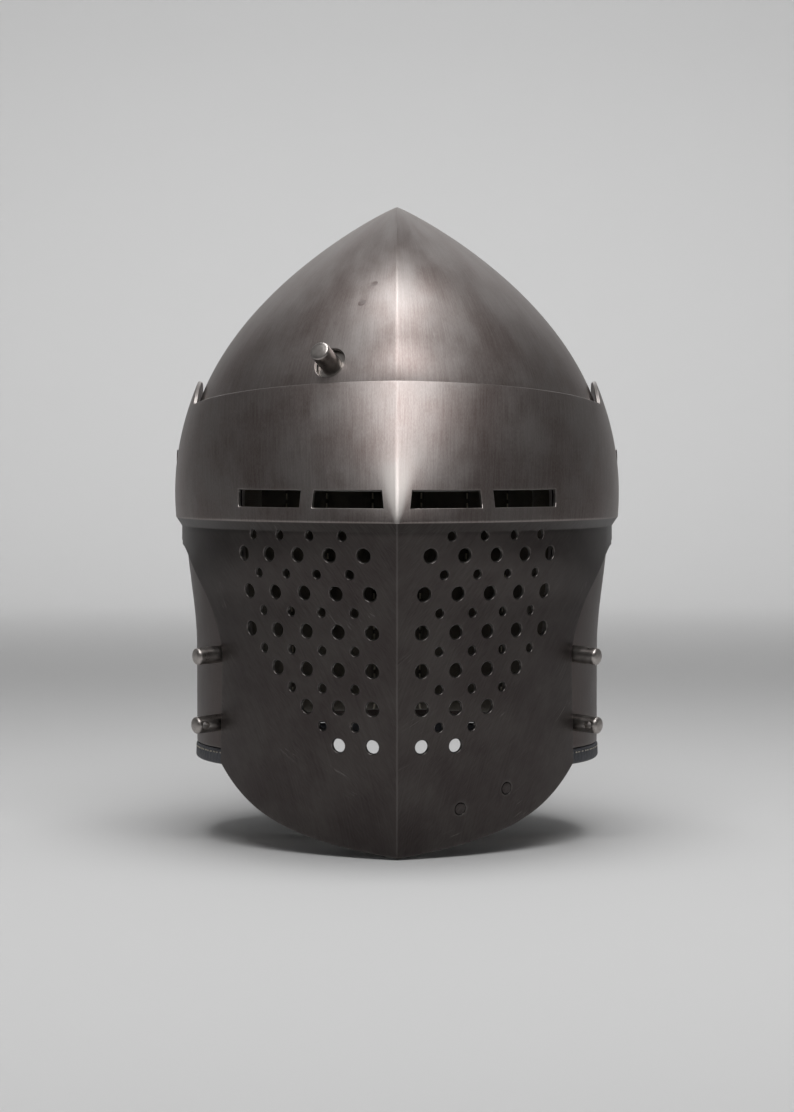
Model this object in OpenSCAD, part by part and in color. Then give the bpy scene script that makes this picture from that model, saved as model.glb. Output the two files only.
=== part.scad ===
/* [Skull] */
// Width of the skull at its widest
skull_w = 218.6; // [208:0.2:230]
// Height of the point above the visor's pivots
apex_z = 135; // [131:0.5:140]
// How far the point stands behind the pivots
apex_back = 45; // [40:1:52]
// Reach of the brow in front of the pivots
skull_reach = 120; // [114:0.5:128]
// Reach of the back of the head behind the pivots
skull_depth = 125; // [118:1:136]
// Depth of the lower edge below the pivots
rim_drop = 144.4; // [141:0.1:150]
// Height of the widest level below the pivots
widest_drop = 10; // [6:1:14]
// How far the cheeks draw in below the widest level
cheek_in = 5.7; // [4.5:0.1:7]
// How far the cheeks' fronts draw back under the visor
cheek_tuck = 28; // [26:0.5:34]
// How far the nape draws in below the widest level
nape_in = 19; // [12:1:26]
// Thickness of the steel plates
plate = 2; // [1.5:0.1:2.2]

/* [Face opening] */
// Height of the opening's top edge above the pivots
face_top = 12; // [6:1:16]
// Distance of the opening's side edges in front of the pivots
face_edge = 84; // [80:1:88]
// Radius of the opening's upper corners
face_corner = 30; // [20:1:36]

/* [Visor] */
// How far the visor's outside stands off the skull's outside at the ears
visor_room = 5.7; // [5.2:0.1:8]
// How far the brow's top edge stands in front of the skull
brow_room = 4.3; // [4:0.1:6]
// Depth of the beak below the pivots
beak_drop = 28.7; // [26:0.1:31]
// Height of the top edge above the pivots at the middle
brow_top = 39.4; // [37:0.1:40]
// Height of the top edge above the pivots at the sides
brow_side = 28.6; // [26:0.1:30]
// How far the top edge stands behind the beak
brow_slope = 35; // [32:0.5:38]
// Height of the step under the beak
ledge_h = 4.5; // [3:0.1:6]
// Depth of the step under the beak
ledge_in = 3.6; // [3:0.1:3.8]
// Depth of the chin below the pivots
chin_drop = 191.5; // [186:0.5:197]
// Draw of the lower face towards the chin, per mm of height
face_slope = 0.17; // [0.14:0.01:0.2]
// Depth of the lower back corners below the pivots
corner_drop = 151; // [149:1:154]
// Radius of the round ears at the pivots
ear_r = 41.6; // [38:0.1:43]
// Radius of the sweep from the ear to the back edge
sweep_r = 52; // [46:1:56]

/* [Sights and breaths] */
// Height of a sight slot
sight_h = 8.3; // [6:0.1:9]
// Depth of the sights' middle below the pivots
sight_drop = 17.6; // [16:0.1:19]
// Length of each inner slot round the plate
sight_inner = 35.3; // [30:0.1:38]
// Length of each outer slot round the plate
sight_outer = 41.4; // [36:0.1:44]
// Half of the bridge between the two inner slots
sight_start = 7.7; // [6:0.1:10]
// Bar between the inner and the outer slot
sight_bar = 7.6; // [5:0.1:10]
// Slant of the slots' ends
sight_slant = 1.5; // [0:0.1:3]
// Diameter of the large breaths
breath_large = 6.8; // [5:0.1:8]
// Diameter of the small breaths
breath_small = 4.4; // [3:0.1:5]
// Distance between the rows of large breaths
breath_pitch_z = 18.5; // [17:0.1:19]
// Distance between large breaths round the plate
breath_pitch_s = 18.3; // [16:0.1:19]
// Depth of the first large row below the pivots
breath_first = 44.6; // [43:0.1:47]
// Distance of the first large breath from the ridge
breath_start = 13; // [11:0.1:15]

/* [Pivots] */
// Diameter of the pivot pins
pivot_d = 8; // [6:0.1:9]
// Diameter of the pivot pins' flush heads
pivot_head_d = 12; // [11:0.5:14]
// Diameter of the washers on the pivots
pivot_washer_d = 16; // [14:0.5:17]
// Width of the pivot nuts across flats
pivot_nut_w = 13; // [12:0.5:14]
// Thickness of the pivot nuts
pivot_nut_t = 5; // [3:0.5:6]
// Thickness of the inner pivot washers
pivot_washer_t = 1.5; // [1:0.1:2]

/* [Latch] */
// Diameter of the latch pin
latch_d = 10; // [8:0.1:11]
// Diameter of the hole round the latch pin
latch_hole_d = 16; // [14:0.5:17]
// How far the latch pin stands out of the skull
latch_out = 12.5; // [10:0.5:14]
// Height of the latch pin above the pivots
latch_z = 48.2; // [47.5:0.1:52]
// Distance of the latch pin from the middle
latch_x = 32.9; // [28:0.1:36]
// Width of the latch's leaf spring
leaf_w = 14; // [12:0.5:16]
// Thickness of the latch's leaf spring
leaf_t = 1.2; // [0.8:0.1:1.4]
// Rise of the leaf spring's upper end above the latch pin
leaf_rise = 44; // [40:1:50]

/* [Pegs] */
// Diameter of the pegs
peg_d = 8.7; // [7:0.1:9]
// Length of the pegs outside the skull
peg_out = 16.5; // [14:0.5:18]
// Diameter of the cross holes in the pegs
peg_hole_d = 4; // [3:0.1:4.5]
// Distance of the cross hole from the peg's tip
peg_hole_in = 4.8; // [4:0.1:6]
// Depth of the upper pegs below the pivots
peg_upper = 96; // [92:1:100]
// Depth of the lower pegs below the pivots
peg_lower = 131; // [127:1:134]
// Clear room between a peg and the visor's back edge
peg_room = 2.25; // [1.5:0.05:4]

/* [Liner] */
// Thickness of the padded liner
liner_t = 20; // [18:0.5:22]
// Gap between the skull and the liner
liner_gap = 1; // [0.5:0.1:1.5]
// Depth of the quilted channels
quilt = 4; // [2:0.1:5]
// Height of the rolled hem under the rim
hem_h = 7.9; // [5:0.1:9]
// How far the hem stands proud of the skull
hem_proud = 0.6; // [0:0.1:0.8]
// How far the hem reaches in past the skull's inner face
hem_in = 2; // [1.5:0.1:2.4]

/* [Chin strap] */
// Width of the chin strap
strap_w = 18; // [15:0.5:20]
// Thickness of the chin strap
strap_t = 2.4; // [1.5:0.1:2.6]
// Drop of the chin strap under its rivets
strap_sag = 44; // [38:1:48]
// Distance of the strap's rivets in front of the pivots
strap_fore = 34; // [30:1:37]
// Depth of the strap's rivets below the pivots
strap_low = 122; // [120:1:128]
// Diameter of the strap's rivets
strap_rivet_d = 5; // [4:0.5:6]
// Diameter of the ball stud's head
stud_d = 7; // [6:0.5:9]

/* [Chin rivets] */
// Diameter of the flush rivets on the chin
chin_rivet_d = 6; // [5:0.5:7]
// Distance of the inner chin rivet from the ridge
chin_inner_s = 34; // [30:1:40]
// Rise of the inner chin rivet above the chin
chin_inner_up = 23; // [20:0.5:27]
// Distance of the outer chin rivet from the ridge
chin_outer_s = 62; // [55:1:66]
// Rise of the outer chin rivet above the chin
chin_outer_up = 31.5; // [28:0.5:36]

/* [Hidden] */
$fn = 48;

// Radial clearance of the turning fits
fit = 0.05;
// Clearance of pieces that are seated but not fitted
seat = 0.2;
// Gap between soft pieces and their neighbours
soft_gap = 0.3;
// Lengths of the cutters that go through a plate, and through the liner or a strap
plate_cut = 12;
deep_cut = 40;
// How much wider than the helm the side outlines are drawn
across_spare = 20;
// Columns in a quarter of the skull's plan
quarter = 11;
// Rings of the skull below and above its widest level
rings_low = 6;
rings_up = 13;
// Rings of the liner above the widest level
liner_rings_up = 7;
// Columns in half of the visor's front
visor_half_cols = 13;
// Where the cheeks start to draw in below the pivots, and the height that this takes
cheek_start = 30;
cheek_run = 65;
// Where the cheeks' fronts start to draw back below the pivots, and the height that this takes
tuck_start = 80;
tuck_run = 68;
// How far the widest place stands in front of the pivots, and how far more at the cheeks
skull_fore = 2;
cheek_fore = 3;

// The skull's plan at a height is four arcs that meet in a ridge at the front and the back

function clamp(x, lo, hi) = max(lo, min(hi, x));
function smooth(x) = let (s = clamp(x, 0, 1)) s * s * (3 - 2 * s);
function mix(a, b, s) = a + (b - a) * s;
function unit(v) = v / norm(v);

widest_z = -widest_drop;
rim_z = -rim_drop;

// Share of the way from the widest level to the point, and from the cheeks' start down
function rise(z) = clamp((z - widest_z) / (apex_z - widest_z), 0, 1);
function fall(z) = smooth((-cheek_start - z) / cheek_run);

function skull_half(z) = skull_w / 2 * pow(1 - pow(rise(z), 2.1), 0.92) - cheek_in * fall(z);
function skull_mid(z) = (apex_back + skull_fore) * pow(rise(z), 2.5) - skull_fore - cheek_fore * fall(z);
function skull_front(z) = apex_back * pow(rise(z), 2) - skull_reach * pow(1 - pow(rise(z), 3.5), 0.75)
    + cheek_tuck * smooth((-tuck_start - z) / tuck_run);
function skull_back(z) = apex_back * pow(rise(z), 2)
    + skull_depth * pow(1 - pow(rise(z), 2.4), 0.8) - nape_in * fall(z);

// Radius of an arc of half width w that reaches d along the middle
function arc_r(w, d) = (d * d + w * w) / (2 * w);

// Point of the skull's right front at an angle a from the front, and the normal there
function front_arc(z) = let (w = skull_half(z)) [w, arc_r(w, skull_mid(z) - skull_front(z)), skull_mid(z)];
function skull_point(a, z) = let (f = front_arc(z)) [f[1] * sin(a) - f[1] + f[0], f[2] - f[1] * cos(a), z];
function skull_normal(a, z) = unit(cross(
    skull_point(a + 0.5, z) - skull_point(a - 0.5, z),
    skull_point(a, z + 0.5) - skull_point(a, z - 0.5)));
// Angle at which the skull's right front is x from the middle, or y from the pivots
function skull_angle_x(x, z) = let (f = front_arc(z)) asin((x + f[1] - f[0]) / f[1]);
function skull_angle_y(y, z) = let (f = front_arc(z)) acos((f[2] - y) / f[1]);

// Lean of the skull's surface, which moves its inner face down as well as in
function lean(z) = 75 * pow(rise(z), 1.5);

// Closed plan ring of the skull, a depth in below its surface
function skull_ring(z, in) = let (
    w = skull_half(z),
    mid = skull_mid(z),
    rf = arc_r(w, mid - skull_front(z)),
    rb = arc_r(w, skull_back(z) - mid),
    d = in * cos(lean(z)),
    down = z - in * sin(lean(z)),
    af = asin((rf - w) / (rf - d)),
    ab = asin((rb - w) / (rb - d)),
    front = [for (i = [0 : quarter]) let (a = mix(af, 90, i / quarter))
        [(rf - d) * sin(a) - (rf - w), mid - (rf - d) * cos(a), down]],
    back = [for (i = [quarter - 1 : -1 : 0]) let (a = mix(ab, 90, i / quarter))
        [(rb - d) * sin(a) - (rb - w), mid + (rb - d) * cos(a), down]],
    right = concat(front, back)
    ) concat(right, [for (i = [len(right) - 2 : -1 : 1]) [-right[i][0], right[i][1], right[i][2]]]);

// Heights of the rings from a low edge to just under the point, closer together upwards
function skull_levels(low, below, above) = concat(
    [for (i = [0 : below - 1]) mix(low, widest_z, i / below)],
    [for (i = [0 : above - 1]) mix(widest_z, apex_z, sin(83 * i / (above - 1)))]);

// Closed solid between an outer and an inner cup of rings, each closed by its own tip
module cup(outer, inner, tip_out, tip_in) {
    n = len(outer[0]);
    k = len(outer);
    points = concat([for (r = outer) each r], [tip_out], [for (r = inner) each r], [tip_in]);
    base = k * n + 1;
    faces = concat(
        [for (j = [0 : k - 2], i = [0 : n - 1]) let (a = j * n + i, b = j * n + (i + 1) % n)
            each [[a, b + n, b], [a, a + n, b + n]]],
        [for (i = [0 : n - 1]) [(k - 1) * n + i, k * n, (k - 1) * n + (i + 1) % n]],
        [for (j = [0 : k - 2], i = [0 : n - 1]) let (a = base + j * n + i, b = base + j * n + (i + 1) % n)
            each [[a, b, b + n], [a, b + n, a + n]]],
        [for (i = [0 : n - 1]) [base + (k - 1) * n + i, base + (k - 1) * n + (i + 1) % n, base + k * n]],
        [for (i = [0 : n - 1]) let (a = i, b = (i + 1) % n)
            each [[a, b, base + b], [a, base + b, base + a]]]);
    polyhedron(points, faces, convexity = 6);
}

// Band swept through stations, each a ring of corners that runs counterclockwise about the way ahead
module sweep(rings) {
    n = len(rings[0]);
    k = len(rings);
    points = [for (r = rings) each r];
    sides = [for (j = [0 : k - 2], i = [0 : n - 1]) let (a = j * n + i, b = j * n + (i + 1) % n)
        each [[a, b + n, b], [a, a + n, b + n]]];
    last = (k - 1) * n;
    ends = [for (i = [1 : n - 2]) each [[0, i, i + 1], [last, last + i + 1, last + i]]];
    polyhedron(points, concat(sides, ends), convexity = 6);
}

// Four corners of a flat strip at p, w wide along u and t thick along v
function strip(p, u, v, w, t) = [
    p - u * w / 2 - v * t / 2, p + u * w / 2 - v * t / 2,
    p + u * w / 2 + v * t / 2, p - u * w / 2 + v * t / 2];

// Places its children with +Z along n and their origin at p
module stand_on(p, n) {
    translate(p) rotate([0, acos(n[2]), atan2(n[1], n[0])]) children();
}

// Turns an outline drawn in depth and height into a block across the helm
module across(width) {
    rotate([90, 0, 90]) translate([0, 0, -width / 2]) linear_extrude(width) children();
}

// Visor

beak_z = -beak_drop;
ledge_z = beak_z - ledge_h;
ear_low_z = -ear_r;
visor_w = skull_w + 2 * visor_room;
beak_reach = brow_room - skull_front(brow_top) + brow_slope;
// Below the ears the plan grows wider than the brow and longer than the beak's reach, down to this height
face_flare = 5;
face_deep = 17.7;
face_z = -70;
// Bow of the brow's sides, and the height at which it is widest
brow_bow = 0.0037;
brow_widest_z = -16;
// Radius of the ears' bend behind the pivots, and the height at which it starts
ear_bend_r = 216;
ear_bend_z = -36;
// Where the top edge starts to rise, in front of the pivots
brow_back = 25;
// The sweep's centre in front of and below the pivots, and the lower back corners in front of them
sweep_fore = 20;
sweep_drop = 95;
corner_fore = 60;

function visor_brow(z) = (z - beak_z) / (brow_top - beak_z);
function visor_front(z) =
    z >= beak_z ? beak_reach - brow_slope * pow(visor_brow(z), 1.15) :
    z >= ledge_z ? beak_reach - ledge_in * (beak_z - z) / ledge_h :
    beak_reach - ledge_in - face_slope * (ledge_z - z);
function visor_half(z) =
    let (brow = visor_w / 2 - brow_bow * pow(z - brow_widest_z, 2), under = visor_w / 2 - ledge_in)
    z >= beak_z ? brow :
    z >= ledge_z ? mix(brow, under, (beak_z - z) / ledge_h) :
    mix(under, visor_w / 2 + face_flare, smooth((ear_low_z - z) / (ear_low_z - face_z)));
function visor_reach(z) = z >= ear_low_z ? visor_front(z) :
    mix(visor_front(z), beak_reach + face_deep, smooth((ear_low_z - z) / (ear_low_z - face_z)));
function visor_arc(z) = arc_r(visor_half(z), visor_reach(z));
function visor_offset(z) = visor_arc(z) - visor_half(z);
function visor_mid(z) = visor_reach(z) - visor_front(z);
function visor_point(s, z) = let (r = visor_arc(z), c = visor_offset(z), a = asin(c / r) + s / r * 180 / PI)
    [r * sin(a) - c, visor_mid(z) - r * cos(a), z];
function visor_normal(s, z) = unit(cross(
    visor_point(s + 1, z) - visor_point(s - 1, z),
    visor_point(s, z + 0.5) - visor_point(s, z - 0.5)));

// How far the ear follows the skull inwards behind the pivots
function ear_curl(y, z) = y * y / (2 * ear_bend_r) * clamp(1 - z / ear_bend_z, 0, 1.3);

// Open plan line of the visor from the left ear round the front to the right ear
function visor_line(z, in) = let (
    r = visor_arc(z),
    c = visor_offset(z),
    mid = visor_mid(z),
    a0 = asin(c / (r - in)),
    arc = [for (i = [0 : visor_half_cols]) let (a = mix(a0, 90, i / visor_half_cols))
        [(r - in) * sin(a) - c, mid - (r - in) * cos(a), z]],
    side = visor_half(z) - in,
    back = [for (i = [1 : 3]) let (y = mix(mid, ear_r + spare, i / 3)) [side - ear_curl(y, z), y, z]],
    right = concat(arc, back)
    ) concat([for (i = [len(right) - 1 : -1 : 1]) [-right[i][0], right[i][1], z]], right);

// What the shell has to spare past the outline that trims it
spare = 6;
// Heights of the visor's rings, with one close under the ledge and one under the beak to keep both crisp
visor_levels = concat(
    [for (i = [0 : 9]) mix(-chin_drop - spare, face_z, i / 9)],
    [for (i = [1 : 3]) mix(face_z, ear_low_z, i / 3)],
    [ledge_z - 0.3, beak_z - 0.2],
    [for (i = [0 : 9]) mix(beak_z + 2, ear_r + spare, i / 9)]);

module visor_shell() {
    outer = [for (z = visor_levels) visor_line(z, 0)];
    inner = [for (z = visor_levels) visor_line(z, plate)];
    sweep_rings = [for (k = [0 : len(visor_levels) - 1])
        concat(outer[k], [for (i = [len(inner[k]) - 1 : -1 : 0]) inner[k][i]])];
    n = len(outer[0]);
    k = len(visor_levels);
    m = 2 * n;
    points = [for (r = sweep_rings) each r];
    sides = [for (j = [0 : k - 2], i = [0 : m - 1]) let (a = j * m + i, b = j * m + (i + 1) % m)
        each [[a, b + m, b], [a, a + m, b + m]]];
    top = (k - 1) * m;
    ends = [for (i = [0 : n - 2]) each [
        [i, i + 1, m - 2 - i], [i, m - 2 - i, m - 1 - i],
        [top + i, top + m - 2 - i, top + i + 1], [top + i, top + m - 1 - i, top + m - 2 - i]]];
    polyhedron(points, concat(sides, ends), convexity = 8);
}

// Rise of the chin's edge, as a share of the way up from the ridge to the back corner
function chin_rise(t) = 0.55 * t + 0.45 * pow(t, 3.6);

// Side outline of the visor: the round ear, the brow, the chin and the sweep to the back edge
module visor_outline() {
    far = -2 * beak_reach;
    chin_fore = visor_front(-chin_drop);
    chin = [for (i = [0 : 8]) let (t = i / 8)
        [-mix(chin_fore, corner_fore, t), -mix(chin_drop, corner_drop, chin_rise(t))]];
    circle(r = ear_r, $fn = 96);
    difference() {
        polygon(concat(
            [[-brow_back, brow_side], [-visor_front(brow_top), brow_top], [far, brow_top], [far, -chin_drop]],
            chin,
            [[-sweep_fore - sweep_r, -sweep_drop], [-sweep_fore, -sweep_drop], [0, -0.95 * ear_r], [0, 0]]));
        intersection() {
            translate([-sweep_fore, -sweep_drop]) circle(r = sweep_r, $fn = 96);
            translate([-sweep_fore - 2 * sweep_r, -sweep_drop]) square(3 * sweep_r);
        }
    }
}

// Cutter through the plate between two places round it, with slanted ends
module sight_cut(from, to, slant_from, slant_to) {
    through = 14;
    top = -sight_drop + sight_h / 2;
    low = -sight_drop - sight_h / 2;
    r = visor_arc(-sight_drop);
    c = visor_offset(-sight_drop);
    function at(s, reach, z) = let (a = asin(c / r) + s / r * 180 / PI)
        [(r + reach) * sin(a) - c, visor_mid(-sight_drop) - (r + reach) * cos(a), z];
    function ring(reach) = [at(from + slant_from, reach, low), at(to + slant_to, reach, low),
        at(to, reach, top), at(from, reach, top)];
    sweep([ring(-through), ring(through)]);
}

module sights() {
    inner_end = sight_start + sight_inner;
    outer_start = inner_end + sight_bar;
    sight_cut(sight_start, inner_end, -sight_slant * 0.6, sight_slant);
    sight_cut(outer_start, outer_start + sight_outer, sight_slant, sight_slant * 0.5);
}

// Breaths: rows of large holes with rows of small ones between them
large_in_row = [5, 5, 5, 4, 3, 2];
small_in_row = [4, 4, 4, 4, 3, 2];
// Above this depth the rows start further from the ridge, by this much in the first row
breath_even = 82;
breath_splay = 4;
function breath_from(z) = breath_start
    + breath_splay * pow(max(0, (z + breath_even) / (breath_even - breath_first)), 2);

module breaths() {
    for (row = [0 : len(large_in_row) - 1]) {
        large_z = -breath_first - row * breath_pitch_z;
        small_z = large_z + breath_pitch_z / 2;
        for (i = [0 : large_in_row[row] - 1])
            visor_place(breath_from(large_z) + i * breath_pitch_s, large_z) breath(breath_large);
        for (i = [0 : small_in_row[row] - 1])
            visor_place(breath_from(small_z) + (i + 0.5) * breath_pitch_s, small_z)
                breath(breath_small);
    }
}

module breath(d) {
    cylinder(d = d, h = plate_cut, center = true, $fn = 24);
}

// Stands its children on the visor, s round the plate from the ridge
module visor_place(s, z) {
    stand_on(visor_point(s, z), visor_normal(s, z)) children();
}

module visor() {
    color("#8d8784") difference() {
        intersection() {
            visor_shell();
            across(visor_w + across_spare) visor_outline();
        }
        for (side = [0, 1]) mirror([side, 0, 0]) {
            sights();
            breaths();
            pivot_place() pivot_bore();
        }
        for (p = chin_rivet_places) visor_place(p[0], p[1])
            cylinder(d = chin_rivet_d, h = plate_cut, center = true);
    }
}

// Pivots: +Z of their own frame points outwards along the visor's axis

ear_face = visor_half(0);
pivot_head_t = 1.6;
skull_side = skull_half(0);
// Clearances of the spacer from the skull and from the ear
spacer_seat = 0.25;
ear_seat = 0.1;
spacer_in = skull_side + spacer_seat;
spacer_out = visor_half(pivot_washer_d / 2) - plate - ear_seat;
// How far the skull's inner face curves away behind the flat washer's edge
washer_sag = 0.45;
washer_out = skull_half(pivot_washer_d / 2) - plate - washer_sag;
nut_out = washer_out - pivot_washer_t;
// Length of the pin past its nut
pivot_tail = 1.5;

module pivot_place() {
    rotate([0, 90, 0]) children();
}

module pivot_bore() {
    cylinder(d = pivot_d + 2 * fit, h = ear_face + 10);
    translate([0, 0, ear_face - pivot_head_t])
        cylinder(d1 = pivot_d + 2 * fit, d2 = pivot_head_d + 2 * fit, h = pivot_head_t);
    translate([0, 0, ear_face - 0.01]) cylinder(d = pivot_head_d + 2 * fit, h = pivot_head_t);
}

module pivot_pin() {
    tail = nut_out - pivot_nut_t - pivot_tail;
    color("#6f6a68") pivot_place() union() {
        translate([0, 0, tail]) cylinder(d = pivot_d, h = ear_face - pivot_head_t / 2 - tail);
        translate([0, 0, ear_face - pivot_head_t])
            cylinder(d1 = pivot_d, d2 = pivot_head_d, h = pivot_head_t);
    }
}

module pivot_ring(low, high) {
    pivot_place() translate([0, 0, low]) difference() {
        cylinder(d = pivot_washer_d, h = high - low);
        translate([0, 0, -1]) cylinder(d = pivot_d + 4 * fit, h = high - low + 2);
    }
}

module pivot_spacer() {
    color("#b08d57") pivot_ring(spacer_in, spacer_out);
}

module pivot_washer() {
    color("#77716e") pivot_ring(nut_out, washer_out);
}

module pivot_nut() {
    color("#5f5b59") pivot_place() translate([0, 0, nut_out - pivot_nut_t]) difference() {
        cylinder(d = pivot_nut_w / cos(30), h = pivot_nut_t, $fn = 6);
        translate([0, 0, -1]) cylinder(d = pivot_d, h = pivot_nut_t + 2);
    }
}

// Latch: a pin on a leaf spring, drawn on the right and mirrored to the left side of the helm

latch_a = skull_angle_x(latch_x, latch_z);
latch_p = skull_point(latch_a, latch_z);
latch_n = skull_normal(latch_a, latch_z);
flange_d = latch_hole_d + 3;
flange_t = 1.5;
// Gaps behind the skull's inner face: over the pin's flange, and over the leaf spring's riveted end
flange_gap = 1.2;
leaf_gap = 0.8;
// Depths under the skull's outer face: the flange's back, and the leaf spring at its riveted end
leaf_top = plate + flange_gap + flange_t;
leaf_seat = plate + leaf_gap;
leaf_toe = 8;
leaf_rivet_d = 4;
leaf_rivet_head_t = 1.4;
// Distances of the two rivets below the leaf's upper end
leaf_rivet_first = 4;
leaf_rivet_second = 14;
leaf_rivet_rises = [leaf_rise - leaf_rivet_first, leaf_rise - leaf_rivet_second];
leaf_pocket = 12;

module on_left() {
    mirror([1, 0, 0]) children();
}

// Middle of a strip that climbs the skull from the latch, at a depth under its outer face
function climb_normal(up) = skull_normal(latch_a, latch_z + max(0, up));
function climb(up, depth, w, t) = let (
    n = climb_normal(up),
    p = skull_point(latch_a, latch_z + up) - n * depth
    ) strip(p, unit(cross(n, [0, 0, 1])), n, w, t);
function leaf_depth(up) = leaf_t / 2 + mix(leaf_top, leaf_seat, smooth((up - 6) / (leaf_rise - 24)));

module leaf_rivet_places() {
    for (up = leaf_rivet_rises)
        stand_on(skull_point(latch_a, latch_z + up), skull_normal(latch_a, latch_z + up)) children();
}

module latch_pin() {
    dome = 1.6;
    mid_d = latch_d - 2.4;
    color("#a5a09c") on_left() stand_on(latch_p, latch_n) union() {
        translate([0, 0, -leaf_top]) cylinder(d = latch_d, h = leaf_top + latch_out - dome);
        translate([0, 0, -leaf_top]) cylinder(d = flange_d, h = flange_t);
        translate([0, 0, latch_out - dome]) cylinder(d1 = latch_d, d2 = mid_d, h = dome * 0.7);
        translate([0, 0, latch_out - dome * 0.3]) cylinder(d1 = mid_d, d2 = mid_d - 2.6, h = dome * 0.3);
    }
}

module latch_spring() {
    color("#4c4a4c") on_left() difference() {
        sweep([for (i = [0 : 12]) let (up = mix(-leaf_toe, leaf_rise, i / 12))
            climb(up, leaf_depth(up), leaf_w, leaf_t)]);
        leaf_rivet_places() cylinder(d = leaf_rivet_d + 2 * fit, h = deep_cut, center = true, $fn = 24);
    }
}

module latch_rivets() {
    tail = leaf_seat + leaf_t + seat + leaf_rivet_head_t;
    color("#8d8784") on_left() leaf_rivet_places() translate([0, 0, -tail]) {
        cylinder(d = leaf_rivet_d, h = tail, $fn = 24);
        cylinder(d1 = leaf_rivet_d + 1, d2 = leaf_rivet_d + 3.5, h = leaf_rivet_head_t, $fn = 24);
    }
}

// Pegs

// Place of the visor's back edge at a depth below its sweep
function visor_back(drop) =
    -mix(sweep_fore + sweep_r, corner_fore, (drop - sweep_drop) / (corner_drop - sweep_drop));
// Point of that edge on the visor's outer face, in plan
function visor_edge(drop) = let (r = visor_arc(-drop), y = visor_back(drop))
    [sqrt(r * r - pow(visor_mid(-drop) - y, 2)) - visor_offset(-drop), y];
// Room between that edge and a peg that stands on the skull at a depth y
function peg_clear(drop, y) = let (
    a = skull_angle_y(y, -drop),
    p = skull_point(a, -drop),
    n = skull_normal(a, -drop),
    e = visor_edge(drop)
    ) ((e[0] - p[0]) * n[1] - (e[1] - p[1]) * n[0]) / norm([n[0], n[1]]) - peg_d / 2;
// Depth at which a peg has the room asked for, found in steps
function peg_y(drop, y, steps) = steps == 0 ? y :
    peg_y(drop, y + peg_room - peg_clear(drop, y), steps - 1);
function peg_angle(drop) = skull_angle_y(peg_y(drop, visor_back(drop) + peg_d, 8), -drop);
peg_shank_d = peg_d * 0.6;
peg_head_t = 1.2;
peg_washer_t = 1.2;
peg_tail = plate + peg_washer_t + peg_head_t + 0.7;

module peg_place(drop, side) {
    a = peg_angle(drop);
    mirror([side, 0, 0]) stand_on(skull_point(a, -drop), skull_normal(a, -drop)) children();
}

// Peg with a rounded tip, a stepped shank through the skull and a cross hole turned by a quarter or not
module peg(drop, side, turn) {
    tip = 2.2;
    foot = 0.3;
    mid_d = peg_d * 0.8;
    color("#a5a09c") peg_place(drop, side) difference() {
        union() {
            translate([0, 0, foot]) cylinder(d = peg_d, h = peg_out - tip - foot);
            translate([0, 0, peg_out - tip]) cylinder(d1 = peg_d, d2 = mid_d, h = tip * 0.6);
            translate([0, 0, peg_out - tip * 0.4])
                cylinder(d1 = mid_d, d2 = mid_d * 0.6, h = tip * 0.4);
            translate([0, 0, -peg_tail]) cylinder(d = peg_shank_d, h = peg_tail + 2 * foot);
            translate([0, 0, -peg_tail])
                cylinder(d1 = peg_d * 0.75, d2 = peg_d * 0.95, h = peg_head_t);
        }
        translate([0, 0, peg_out - peg_hole_in]) rotate([0, 90, turn])
            cylinder(d = peg_hole_d, h = peg_d + 4, center = true);
    }
}

module peg_washers() {
    color("#77716e") for (drop = [peg_upper, peg_lower], side = [0, 1]) {
        peg_place(drop, side) translate([0, 0, -peg_tail + peg_head_t + 0.1]) difference() {
            cylinder(d = peg_d + 2.6, h = peg_washer_t);
            cylinder(d = peg_shank_d + 2 * fit, h = 4 * peg_washer_t, center = true);
        }
    }
}

// Chin rivets: places round the plate from the ridge, and heights
chin_rivet_places = [[chin_inner_s, chin_inner_up - chin_drop], [chin_outer_s, chin_outer_up - chin_drop]];

module chin_rivets() {
    gap = 0.6;
    head_t = 1.3;
    color("#8d8784") for (p = chin_rivet_places) visor_place(p[0], p[1]) union() {
        translate([0, 0, -plate - gap - head_t / 2])
            cylinder(d = chin_rivet_d - fit, h = plate + gap + head_t / 2);
        translate([0, 0, -plate - gap - head_t])
            cylinder(d1 = chin_rivet_d, d2 = chin_rivet_d + 3, h = head_t);
    }
}

// Skull

// Outline of the face opening from the side, moved out by a distance
module face_outline(out) {
    far = 300;
    top = face_top + out;
    edge = -face_edge + out;
    translate([-far, -far]) square([far + edge - face_corner, far + top]);
    translate([-far, -far]) square([far + edge, far + top - face_corner]);
    translate([edge - face_corner, top - face_corner]) circle(r = face_corner);
}

module skull() {
    levels = skull_levels(rim_z, rings_low, rings_up);
    through = 20;
    color("#a9a3a0") difference() {
        cup([for (z = levels) skull_ring(z, 0)], [for (z = levels) skull_ring(z, plate)],
            [0, apex_back, apex_z], [0, apex_back, apex_z - 1.3 * plate]);
        across(skull_w + across_spare) face_outline(0);
        for (side = [0, 1]) mirror([side, 0, 0])
            pivot_place() cylinder(d = pivot_d + 2 * fit, h = skull_w);
        on_left() {
            stand_on(latch_p, latch_n) cylinder(d = latch_hole_d, h = through, center = true);
            leaf_rivet_places() cylinder(d = leaf_rivet_d + 2 * fit, h = through, center = true, $fn = 24);
        }
        for (drop = [peg_upper, peg_lower], side = [0, 1])
            peg_place(drop, side) cylinder(d = peg_shank_d + 2 * fit, h = through, center = true);
        for (side = [0, 1])
            strap_rivet_place(side) cylinder(d = strap_rivet_d + 2 * fit, h = through, center = true);
    }
}

// Liner: a quilted cap that follows the skull's inner face, cut out round the straps

// How far the liner's face cut stands back from the skull's, and its lower edge above the rim
liner_face = 6;
liner_raise = 7;
// How far the notch round the strap reaches behind its rivets and above them
strap_notch = 12;
notch_rise = 10;

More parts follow.
